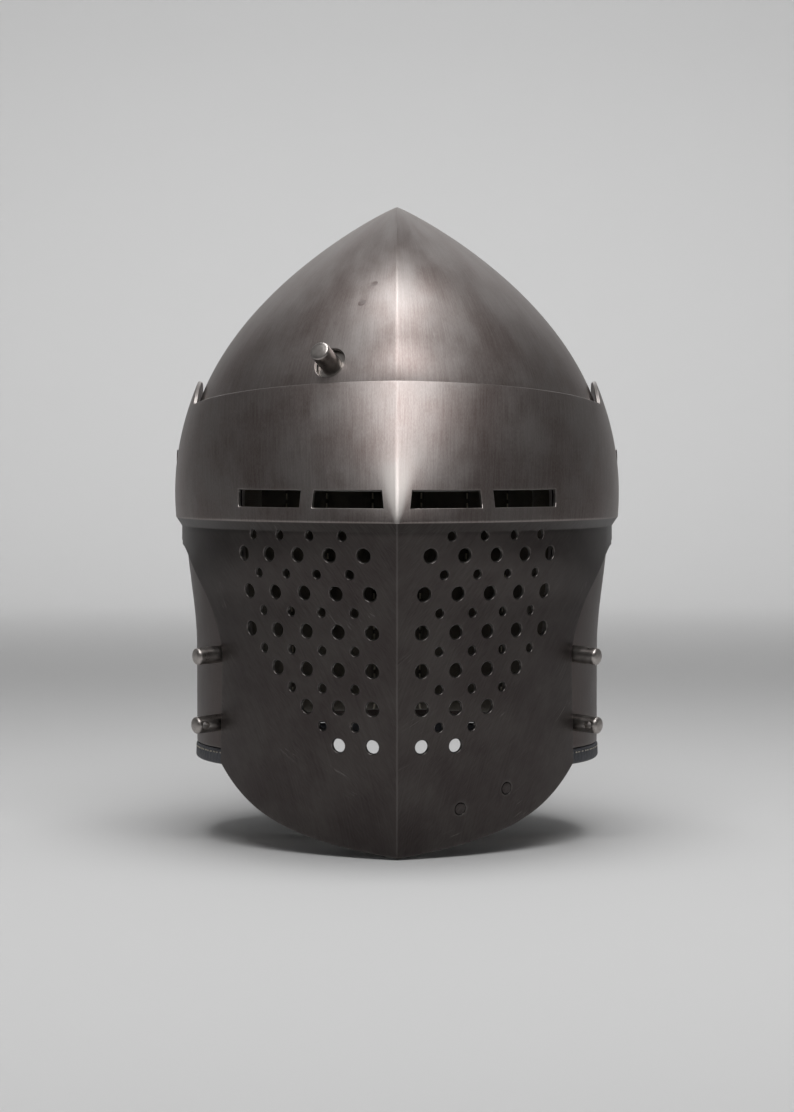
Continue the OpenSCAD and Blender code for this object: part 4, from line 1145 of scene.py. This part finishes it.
def arc_profile(r_in, r_out, z_low, z_high, steps=5):
    """Quarter round between an outer radius at z_low and an inner one at z_high."""
    return [(r_in + (r_out - r_in) * math.cos(a), z_low + (z_high - z_low) * math.sin(a))
            for a in np.linspace(0, math.pi / 2, steps)]


def latch_frame(up=0.0):
    """Point and normal above the latch on the right half; the pieces there are mirrored."""
    return on_shell(Skull(), latch_place(Skull(), up))


# Small rounding of turned edges, and stations along the leaf
FILLET, LEAF_STATIONS = 0.3, 60


def make_latch():
    r, flange, flange_top = LATCH_D / 2, FLANGE_D / 2, -LEAF_TOP + FLANGE_T
    profile = [(0, -LEAF_TOP), (flange - FILLET, -LEAF_TOP), (flange, -LEAF_TOP + FILLET),
               (flange, flange_top - FILLET), (flange - FILLET, flange_top),
               (r + FILLET, flange_top), (r, flange_top + FILLET)]
    profile += arc_profile(r - 1.3, r, LATCH_OUT - 1.55, LATCH_OUT - 0.35, 7)
    profile += [(r - 2.4, LATCH_OUT - 0.1), (0, LATCH_OUT)]
    return lathe("latch_button", profile, stand_on(*latch_frame()), 64, mirrored=True)


def make_leaf():
    """Leaf spring up the skull's inner face, from the latch pin's flange to its two rivets."""
    shape = section(LEAF_W, LEAF_T, 0.35, 2)
    rings, places = [], []
    for k, up in enumerate(np.linspace(-LEAF_TOE, LEAF_RISE, LEAF_STATIONS)):
        p, n = latch_frame(up)[0], latch_frame(max(0.0, up))[1]
        risen = float(smooth((up - 6) / (LEAF_RISE - 24)))
        depth = LEAF_T / 2 + mix(LEAF_TOP, LEAF_SEAT, risen)
        across = np.cross(n, [0, 0, 1])
        across /= np.linalg.norm(across)
        end = min(1.0, (min(k, LEAF_STATIONS - 1 - k) + 0.5) / 7)
        wide = math.sqrt(1 - (1 - end) ** 2)
        ring = np.array([p - n * depth + across * x * wide + n * y for x, y in shape])
        ring[:, 0] *= -1
        rings.append(ring)
        flat = np.zeros(len(shape))
        places.append(np.column_stack([shape[:, 0], flat + up, flat]))
    return sweep("latch_leaf", rings, places=np.concatenate(places), sharp=50)


def make_peg(name, drop, y, turn, side):
    """Peg with a rounded tip, a bevelled cross hole and a thinner shank through the plate."""
    shell = Skull()
    stand = stand_on(*on_shell(shell, skull_place_y(shell, y, -drop)))
    r, shank, foot, head = PEG_D / 2, PEG_D * 0.3, 0.3, -PEG_TAIL + 1.2
    profile = [(0, -PEG_TAIL), (PEG_D * 0.36, -PEG_TAIL), (PEG_D * 0.45, -PEG_TAIL + 0.9),
               (PEG_D * 0.42, head), (shank, head), (shank, foot), (r - 0.4, foot), (r, foot + 0.4)]
    profile += [(r, z) for z in np.linspace(3, PEG_OUT - 2.6, 4)]
    profile += arc_profile(r - 2.1, r, PEG_OUT - 2.2, PEG_OUT - 0.25, 8)
    profile += [(r - 3.2, PEG_OUT - 0.05), (0, PEG_OUT)]
    peg = lathe(name, profile, stand, 48, mirrored=side < 0)
    middle = Matrix.Translation((0, 0, PEG_OUT - PEG_HOLE_IN))
    middle = middle @ Matrix.Rotation(math.radians(turn), 4, "Z")
    hole = PEG_HOLE_D / 2
    cutter = lathe("cutter", [(0, -PEG_D), (hole, -PEG_D), (hole, PEG_D), (0, PEG_D)],
                   stand @ middle @ Matrix.Rotation(math.pi / 2, 4, "Y"), 32, mirrored=side < 0)
    return drilled(peg, [cutter], bevel=0.35)


def make_chin_rivets():
    """Flush rivets on the chin, turned pieces in the plate's own coordinates."""
    shell = Visor()
    r, found = CHIN_RIVET_D / 2, []
    for k, place in enumerate(CHIN_RIVETS):
        p, n = on_shell(shell, place)
        profile = [(0, -3.9), (r + 1.5, -3.9), (r + 1.3, -3.4), (r, -2.6), (r - 0.03, -0.5),
                   (r - 0.22, -0.12), (r - 0.6, 0.02), (0, 0.05)]
        rivet = lathe("chin_rivet_%d" % k, profile, stand_on(p, n), 40)
        layer = rivet.data.uv_layers["plate"]
        for loop in rivet.data.loops:
            co = np.array([rivet.data.vertices[loop.vertex_index].co]) / MM
            layer.data[loop.index].uv = shell.place(co)[0] * UV_PER_MM
        found.append(rivet)
    return found


# Materials

def shade(tone, k):
    return tuple(min(1, k * c) for c in tone)


class Surface:
    """A node material under construction; its methods add nodes and return their outputs."""

    def __init__(self, name, **values):
        self.material = bpy.data.materials.new(name)
        self.material.use_nodes = True
        self.tree = self.material.node_tree
        self.shader = self.tree.nodes["Principled BSDF"]
        for key, value in values.items():
            self.shader.inputs[key.replace("_", " ")].default_value = value

    def node(self, kind, inputs=(), output=0, **settings):
        made = self.tree.nodes.new(kind)
        for key, value in settings.items():
            setattr(made, key, value)
        for index, value in dict(inputs).items():
            if isinstance(value, bpy.types.NodeSocket):
                self.tree.links.new(value, made.inputs[index])
            else:
                made.inputs[index].default_value = value
        return made.outputs[output]

    def plate(self):
        """Coordinates along the plate in millimetres; Z sets the right side apart."""
        uv = self.node("ShaderNodeUVMap", uv_map="plate")
        right = self.times(self.math("GREATER_THAN", self.part(self.space(), "X")), 37.0)
        along = self.node("ShaderNodeVectorMath", {0: uv, 3: 1 / UV_PER_MM}, operation="SCALE")
        x, y = self.part(along, "X"), self.part(along, "Y")
        return self.node("ShaderNodeCombineXYZ", {0: x, 1: y, 2: right})

    def space(self):
        """Coordinates in the piece's own frame, in millimetres."""
        own = self.node("ShaderNodeTexCoord", output=3)
        return self.node("ShaderNodeVectorMath", {0: own, 3: 1 / MM}, operation="SCALE")

    def part(self, vector, axis):
        return self.node("ShaderNodeSeparateXYZ", {0: vector}, output="XYZ".index(axis))

    def turned(self, vector, degrees, bow=0.0):
        """Coordinates turned in their plane, lines along X bowed by a share of the square."""
        turn = (0, 0, math.radians(-degrees))
        vector = self.node("ShaderNodeMapping", {0: vector, 2: turn})
        x, y = self.part(vector, "X"), self.part(vector, "Y")
        y = self.plus(y, self.times(self.times(x, x), bow))
        return self.node("ShaderNodeCombineXYZ", {0: x, 1: y, 2: self.part(vector, "Z")})

    def noise(self, vector, size, detail=3.0, rough=0.55):
        """Noise from 0 to 1 with grains of a size in millimetres, one number or three."""
        size = size if isinstance(size, tuple) else (size,) * 3
        vector = self.node("ShaderNodeMapping", {0: vector, 3: tuple(1 / s for s in size)})
        inputs = {"Vector": vector, "Scale": 1.0, "Detail": detail, "Roughness": rough}
        return self.node("ShaderNodeTexNoise", inputs)

    def math(self, operation, a, b=0.0):
        return self.node("ShaderNodeMath", {0: a, 1: b}, operation=operation)

    def times(self, a, b):
        return self.math("MULTIPLY", a, b)

    def plus(self, a, b):
        return self.math("ADD", a, b)

    def between(self, value, low, high, to_low=0.0, to_high=1.0):
        return self.node("ShaderNodeMapRange", {0: value, 1: low, 2: high, 3: to_low, 4: to_high},
                         interpolation_type="SMOOTHSTEP")

    def mix(self, factor, a, b):
        a, b = ((*c, 1) if isinstance(c, tuple) else c for c in (a, b))
        return self.node("ShaderNodeMix", {0: factor, 6: a, 7: b}, output=2, data_type="RGBA")

    def blend(self, factor, a, b):
        return self.node("ShaderNodeMix", {0: factor, 2: a, 3: b}, data_type="FLOAT")

    def mottled(self, cloud, tones):
        """A colour that drifts between two tones."""
        return self.mix(self.between(cloud, 0.3, 0.7), *tones)

    def wear(self):
        return self.node("ShaderNodeAttribute", attribute_name="wear", output=2)

    def scratches(self, vector, size, width, share):
        """Thin lines where a stretched noise passes its middle, on a share of the surface."""
        line = self.math("ABSOLUTE", self.math("SUBTRACT", self.noise(vector, size, 1.0), 0.5))
        line = self.between(line, 0.0, width, 1.0, 0.0)
        return self.times(line, self.between(self.noise(vector, 22.0, 2.0), 1 - share, 1.1 - share))

    def finish(self, colour, rough, bumps):
        """Joins colour, roughness and bumps, each a height and a depth in millimetres."""
        self.tree.links.new(colour, self.shader.inputs["Base Color"])
        self.tree.links.new(rough, self.shader.inputs["Roughness"])
        normal = None
        for height, depth in bumps:
            inputs = {"Height": height, "Distance": depth * MM, "Strength": 1.0}
            if normal:
                inputs["Normal"] = normal
            normal = self.node("ShaderNodeBump", inputs)
        self.tree.links.new(normal, self.shader.inputs["Normal"])
        return self.material


# Painted shade in the corner under the ledge, and the painted highlight in a wedge on the brow:
# half width at the beak, share of the height by which it widens, and height
SHADED_STEEL = (0.02, 0.018, 0.017)
WEDGE_TIP, WEDGE_WIDENS, WEDGE_H = 1.5, 0.4, 42.0


def brushed_steel(name, tones, wear_and_highlight, face=None, painted_shade_heights=None):
    """Satin steel, brushed upwards. Under the visor's beak, face gives it darker tones of painted
    shade and slanting strokes, with a painted highlight on the brow's ridge above the beak; the
    last argument gives the heights between which painted shade darkens it downwards."""
    s = Surface(name, Metallic=1.0, Anisotropic=0.3)
    plate = s.plate()
    streak = s.noise(plate, (0.8, 17.0, 1.0), 4.0)
    fine = s.noise(plate, (0.42, 1.7, 1.0), 3.0, 0.7)
    cloud = s.noise(plate, 34.0, 4.0, 0.6)
    waves = s.noise(plate, (26.0, 38.0, 1.0), 1.0)
    tone = s.mottled(cloud, tones)
    scratch = s.scratches(plate, (3.0, 60.0, 1.0), 0.008, 0.35)
    # Painted shade: between the given heights the tone darkens downwards to 0.45 of its first tone
    if painted_shade_heights:
        low = s.between(s.part(s.space(), "Z"), *painted_shade_heights, 1.0, 0.0)
        tone = s.mix(low, tone, shade(tones[0], 0.45))
    if face:
        zone = s.between(s.part(plate, "Y"), BEAK_Z - 0.5, BEAK_Z + 0.1, 1.0, 0.0)
        slant = s.turned(plate, 52.0, 0.0018)
        streak = s.blend(zone, streak, s.noise(slant, (34.0, 0.7, 1.0), 4.0, 0.65))
        fine = s.blend(zone, fine, s.noise(s.turned(plate, 38.0, 0.001), (9.0, 0.4, 1.0), 3.0, 0.7))
        crossing = s.scratches(s.turned(plate, 64.0, -0.003), (60.0, 2.0, 1.0), 0.010, 0.4)
        scratch = s.blend(zone, scratch, s.times(crossing, 0.6))
        # Painted shade in the corner under the ledge, over the face's tones of painted shade
        corner = s.between(s.part(plate, "Y"), LEDGE_Z - 3.0, LEDGE_Z + 0.3, 0.0, 0.5)
        painted_shade_tone = s.mix(corner, s.mottled(cloud, face), SHADED_STEEL)
        # The brow's ridge gets a painted highlight, a lighter wedge that closes on the beak
        height = s.math("SUBTRACT", s.part(plate, "Y"), BEAK_Z)
        wedge = s.plus(s.times(height, WEDGE_WIDENS), WEDGE_TIP)
        painted_highlight = s.between(s.math("DIVIDE", s.part(plate, "X"), wedge), 0.35, 1.1, 1.0, 0.0)
        painted_highlight = s.times(painted_highlight, s.between(height, 0.0, WEDGE_H, 1.0, 0.0))
        tone = s.mix(painted_highlight, tone, wear_and_highlight)
        tone = s.mix(zone, tone, painted_shade_tone)
        # Under the beak the wear colour is drawn darker too, as painted shade
        wear_and_highlight = s.mix(zone, wear_and_highlight, shade(wear_and_highlight, 0.75))
    grain = s.plus(s.times(streak, 0.45), s.times(fine, 0.55))
    share = s.between(grain, 0.36, 0.64, 0.0, 0.22)
    # Where painted shade darkens the steel, less of the lighter grain shows
    if face or painted_shade_heights:
        share = s.times(share, s.between(zone if face else low, 0.0, 1.0, 1.0, 0.27))
    colour = s.mix(share, tone, wear_and_highlight)
    wear = s.math("POWER", s.wear(), 2.6)
    worn_at = s.times(wear, s.between(cloud, 0.25, 0.6, 0.5, 1.0))
    colour = s.mix(s.math("MAXIMUM", worn_at, s.times(scratch, 0.4)), colour, wear_and_highlight)
    rough = s.plus(s.between(cloud, 0.2, 0.8, 0.30, 0.38), s.times(grain, 0.08))
    rough = s.math("SUBTRACT", rough, s.times(worn_at, 0.08))
    tangent = s.node("ShaderNodeTangent", direction_type="UV_MAP", uv_map="plate")
    s.tree.links.new(tangent, s.shader.inputs["Tangent"])
    bumps = [(waves, 0.2), (streak, 0.006), (fine, 0.007), (scratch, -0.004)]
    return s.finish(colour, rough, bumps)


def turned_steel(name, tones, rough_range, plate=True):
    """Lathe-turned metal with fine rings, or an even grain without plate coordinates."""
    s = Surface(name, Metallic=1.0)
    at = s.plate() if plate else s.space()
    rings = s.noise(at, (9.0, 0.35, 1.0) if plate else 0.7, 3.0)
    cloud = s.noise(s.space(), 5.0, 4.0, 0.6)
    colour = s.mottled(cloud, tones)
    mean = s.plus(s.times(rings, 0.5), s.times(cloud, 0.5))
    rough = s.between(mean, 0.3, 0.7, *rough_range)
    return s.finish(colour, rough, [(cloud, 0.04), (rings, 0.012)])


def leather(name, tones, rough, grain):
    """Finished leather with pores, and creases that are lighter from wear."""
    s = Surface(name, Specular_IOR_Level=0.4)
    own = s.space()
    pores = s.node("ShaderNodeTexVoronoi", {"Vector": own, "Scale": 1 / grain}, feature="SMOOTH_F1")
    creases = s.noise(own, grain * 3.2, 5.0, 0.65)
    cloud = s.noise(own, 16.0, 3.0)
    colour = s.mottled(cloud, tones)
    colour = s.mix(s.between(creases, 0.52, 0.75, 0.0, 0.35), colour, shade(tones[1], 2.2))
    level = s.plus(s.between(creases, 0.3, 0.7, rough - 0.1, rough + 0.1), s.times(pores, 0.05))
    return s.finish(colour, level, [(creases, 0.25), (pores, 0.12)])


# Linen: distance between threads and between the liner's running stitches, and their colour
THREAD_PITCH, LINER_STITCH, STITCH_TONE = 0.85, 5.5, (0.72, 0.66, 0.55)


def linen(name, tones, channels=True):
    """Plain-woven linen, darker along the liner's sewn channels, where a running stitch shows."""
    s = Surface(name, Roughness=0.9, Sheen_Weight=0.25, Specular_IOR_Level=0.2)
    plate = s.plate()
    u, v = s.part(plate, "X"), s.part(plate, "Y")
    warp, weft = (s.math("SINE", s.times(c, 2 * math.pi / THREAD_PITCH)) for c in (u, v))
    weave = s.times(warp, weft)
    slub = s.noise(plate, (0.9, 14.0, 1.0), 3.0)
    cloud = s.noise(plate, 30.0, 4.0, 0.6)
    colour = s.mottled(cloud, tones)
    colour = s.mix(s.between(weave, -1.0, 0.4, 0.25, 0.0), colour, shade(tones[0], 0.5))
    colour = s.mix(s.between(slub, 0.55, 0.75, 0.0, 0.3), colour, shade(tones[1], 1.25))
    bumps = [(weave, 0.06), (slub, 0.12), (s.noise(s.space(), 9.0, 3.0), 0.5)]
    if channels:
        across = s.math("SUBTRACT", s.math("FRACT", s.times(u, 1 / CHANNEL)), 0.5)
        across = s.math("ABSOLUTE", across)
        seam = s.between(across, 0.0, 0.035, 1.0, 0.0)
        channel_darkening = s.between(across, 0.0, 0.16, 0.45, 0.0)
        along = s.math("FRACT", s.times(v, 1 / LINER_STITCH))
        stitch = s.times(seam, s.between(along, 0.35, 0.45))
        colour = s.mix(channel_darkening, colour, shade(tones[0], 0.45))
        colour = s.mix(stitch, colour, STITCH_TONE)
        bumps.append((stitch, 0.5))
    return s.finish(colour, s.between(cloud, 0.2, 0.8, 0.8, 0.95), bumps)


def pale_matte(name, tone):
    """Paper for the stage, with a faint drift of its tone."""
    s = Surface(name, Roughness=0.85, Specular_IOR_Level=0.2)
    cloud, grain = s.noise(s.space(), 240.0, 3.0), s.noise(s.space(), 2.5, 2.0)
    colour = s.mix(cloud, shade(tone, 0.985), tone)
    return s.finish(colour, s.between(cloud, 0.0, 1.0, 0.8, 0.9), [(grain, 0.03)])


# Each metal drifts between two tones
# Colour of wear on edges and scratches, also used for the painted highlight on the brow's ridge
WEAR_AND_HIGHLIGHT_STEEL = (0.50, 0.47, 0.45)
SKULL_TONES = ((0.185, 0.148, 0.138), (0.262, 0.236, 0.227))
BROW_TONES = ((0.172, 0.136, 0.127), (0.242, 0.218, 0.209))
# Painted shade: the face is the brow's steel, drawn darker below the beak
FACE_SHADE_TONES = ((0.046, 0.038, 0.037), (0.067, 0.059, 0.056))
BRIGHT_TONES = ((0.30, 0.275, 0.26), (0.44, 0.41, 0.39))
# Tones of painted shade, the same as the skull's darkened cheeks, for the rivets there
SHADED_CHEEK_TONES = ((0.085, 0.073, 0.070), (0.105, 0.092, 0.088))
DARK_TONES = ((0.07, 0.07, 0.075), (0.13, 0.125, 0.125))
BRASS_TONES = ((0.44, 0.29, 0.11), (0.66, 0.47, 0.21))
# The skull's cheeks get painted shade between -64 and -16 mm
skull_steel = brushed_steel("skull_steel", SKULL_TONES, WEAR_AND_HIGHLIGHT_STEEL, painted_shade_heights=(-64.0, -16.0))
visor_steel = brushed_steel("visor_steel", BROW_TONES, WEAR_AND_HIGHLIGHT_STEEL, FACE_SHADE_TONES)
bright_steel = turned_steel("turned_steel", BRIGHT_TONES, (0.26, 0.40))
flush_steel = turned_steel("flush_steel", SKULL_TONES, (0.32, 0.42), plate=False)
shaded_cheek_steel = turned_steel("shaded_cheek_steel", SHADED_CHEEK_TONES, (0.34, 0.44), plate=False)
dark_steel = turned_steel("dark_steel", DARK_TONES, (0.35, 0.5), plate=False)
brass = turned_steel("brass", BRASS_TONES, (0.28, 0.45), plate=False)
liner_cloth = linen("quilted_linen", ((0.125, 0.110, 0.088), (0.185, 0.165, 0.134)))
thread_linen = linen("waxed_thread", ((0.56, 0.51, 0.42), (0.70, 0.65, 0.56)), channels=False)
hem_leather = leather("hem_leather", ((0.040, 0.042, 0.050), (0.066, 0.068, 0.078)), 0.55, 0.7)
strap_leather = leather("strap_leather", ((0.085, 0.042, 0.022), (0.135, 0.070, 0.036)), 0.48, 0.8)


# Pieces: each rides on its body, takes a material and hides the solid it stands for

def place_piece(obj, material, body="skull", node=None):
    obj.data.materials.clear()
    obj.data.materials.append(material)
    if body:
        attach(obj, body)
    if node:
        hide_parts(node)
    return obj


make_camera()
place_piece(make_visor(), visor_steel, "visor", "visor")
place_piece(make_skull(), skull_steel, "skull", "skull")

liner = place_piece(make_liner(), liner_cloth, "skull", "liner")
hem, hem_stitches = make_hem()
place_piece(hem, hem_leather, "skull", "liner_hem")
place_piece(hem_stitches, thread_linen)

left = make_strap("strap_band_left", -90, strap_angle(LEFT_END), -90, lambda t: 0.0, [(0, 0.0)])
right = make_strap("strap_band_right", strap_angle(RIGHT_END), 90, 90, right_out,
                   [(10 * k + 10, -LAYER) for k in range(-2, 2)])
for (band, stitches), node_name in ((left, "strap_left"), (right, "strap_right")):
    place_piece(band, strap_leather, "skull", node_name)
    place_piece(stitches, thread_linen)
place_piece(make_keeper(), strap_leather, "skull", "strap_keeper")

place_piece(make_latch(), bright_steel, "latch", "latch_pin")
leaf = place_piece(make_leaf(), dark_steel, None, "latch_spring")
latch_p = latch_frame()[0]
rivet_p = latch_frame(LEAF_RIVETS[1] - LEAF_RIVET_D)[0]
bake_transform(leaf)
for height, (drop, y, turn) in PEGS.items():
    for side, word in ((1, "right"), (-1, "left")):
        peg = make_peg("peg_turned_%s_%s" % (height, word), drop, y, turn, side)
        place_piece(peg, bright_steel, "skull", "peg_%s_%s" % (height, word))
for rivet in make_chin_rivets():
    place_piece(rivet, visor_steel, "visor", "chin_rivets")

CAD_FINISH = {
    flush_steel: ["pivot_pin_left", "pivot_pin_right", "latch_rivets"],
    # The strap rivets take the cheek's painted shade
    shaded_cheek_steel: ["strap_rivet_left", "strap_rivet_right"],
    dark_steel: ["pivot_washer_left", "pivot_washer_right", "pivot_nut_left", "pivot_nut_right",
                 "peg_washers"],
    brass: ["pivot_spacer_left", "pivot_spacer_right", "strap_stud"]}
for material, names in CAD_FINISH.items():
    for name in names:
        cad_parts[name].data.materials.clear()
        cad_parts[name].data.materials.append(material)


# Stage: a pale floor that curves up into a backdrop behind the helm

FLOOR_Z = -192.3
STAGE_R, COVE_R, WALL_TOP, STAGE_SIDES = 3200, 900, 2600, 96


def make_stage():
    """Round floor that curves up into a wall, open above."""
    profile = [(0, FLOOR_Z)]
    profile += [(STAGE_R - COVE_R + COVE_R * math.sin(a), FLOOR_Z + COVE_R * (1 - math.cos(a)))
                for a in np.linspace(0, math.pi / 2, 24)]
    profile.append((STAGE_R, WALL_TOP))
    n = STAGE_SIDES
    points = [(0, 0, FLOOR_Z)] + [(r * math.cos(a), r * math.sin(a), z)
                                  for r, z in profile[1:] for a in np.arange(n) * 2 * math.pi / n]
    faces = [[0, 1 + i, 1 + (i + 1) % n] for i in range(n)]
    for ring in range(len(profile) - 2):
        for i in range(n):
            a, b = 1 + n * ring + i, 1 + n * ring + (i + 1) % n
            faces.append([a, a + n, b + n, b])
    stage = mesh_object("stage", points, faces)
    stage.data.materials.append(pale_matte("stage_paper", (0.60, 0.60, 0.60)))


def softbox(name, at, aim, width, height, power, spread=180):
    """Area light in metres that faces a point."""
    data = bpy.data.lights.new(name, "AREA")
    data.shape, data.size, data.size_y = "RECTANGLE", width, height
    data.energy, data.spread = power, math.radians(spread)
    obj = bpy.data.objects.new(name, data)
    obj.location = at
    obj.rotation_mode = "QUATERNION"
    obj.rotation_quaternion = (Vector(aim) - Vector(at)).to_track_quat("-Z", "Y")
    bpy.context.scene.collection.objects.link(obj)


def make_lights():
    softbox("key", (0.06, -0.73, 1.02), (0.0, -0.12, 0.05), 0.95, 0.45, 7.6)
    softbox("overhead", (0.03, -0.02, 1.2), (0.03, -0.021, 0), 0.80, 0.75, 9.8)
    softbox("backdrop_wash", (0, 2.2, 2.5), (0, 3.2, 0.8), 3.0, 0.5, 26, spread=110)
    world = bpy.data.worlds.new("studio")
    bpy.context.scene.world = world
    world.use_nodes = True
    background = world.node_tree.nodes["Background"]
    background.inputs["Color"].default_value = (0.8, 0.8, 0.8, 1)
    background.inputs["Strength"].default_value = 0.3


make_stage()
make_lights()
bpy.context.scene.view_settings.view_transform = "Standard"
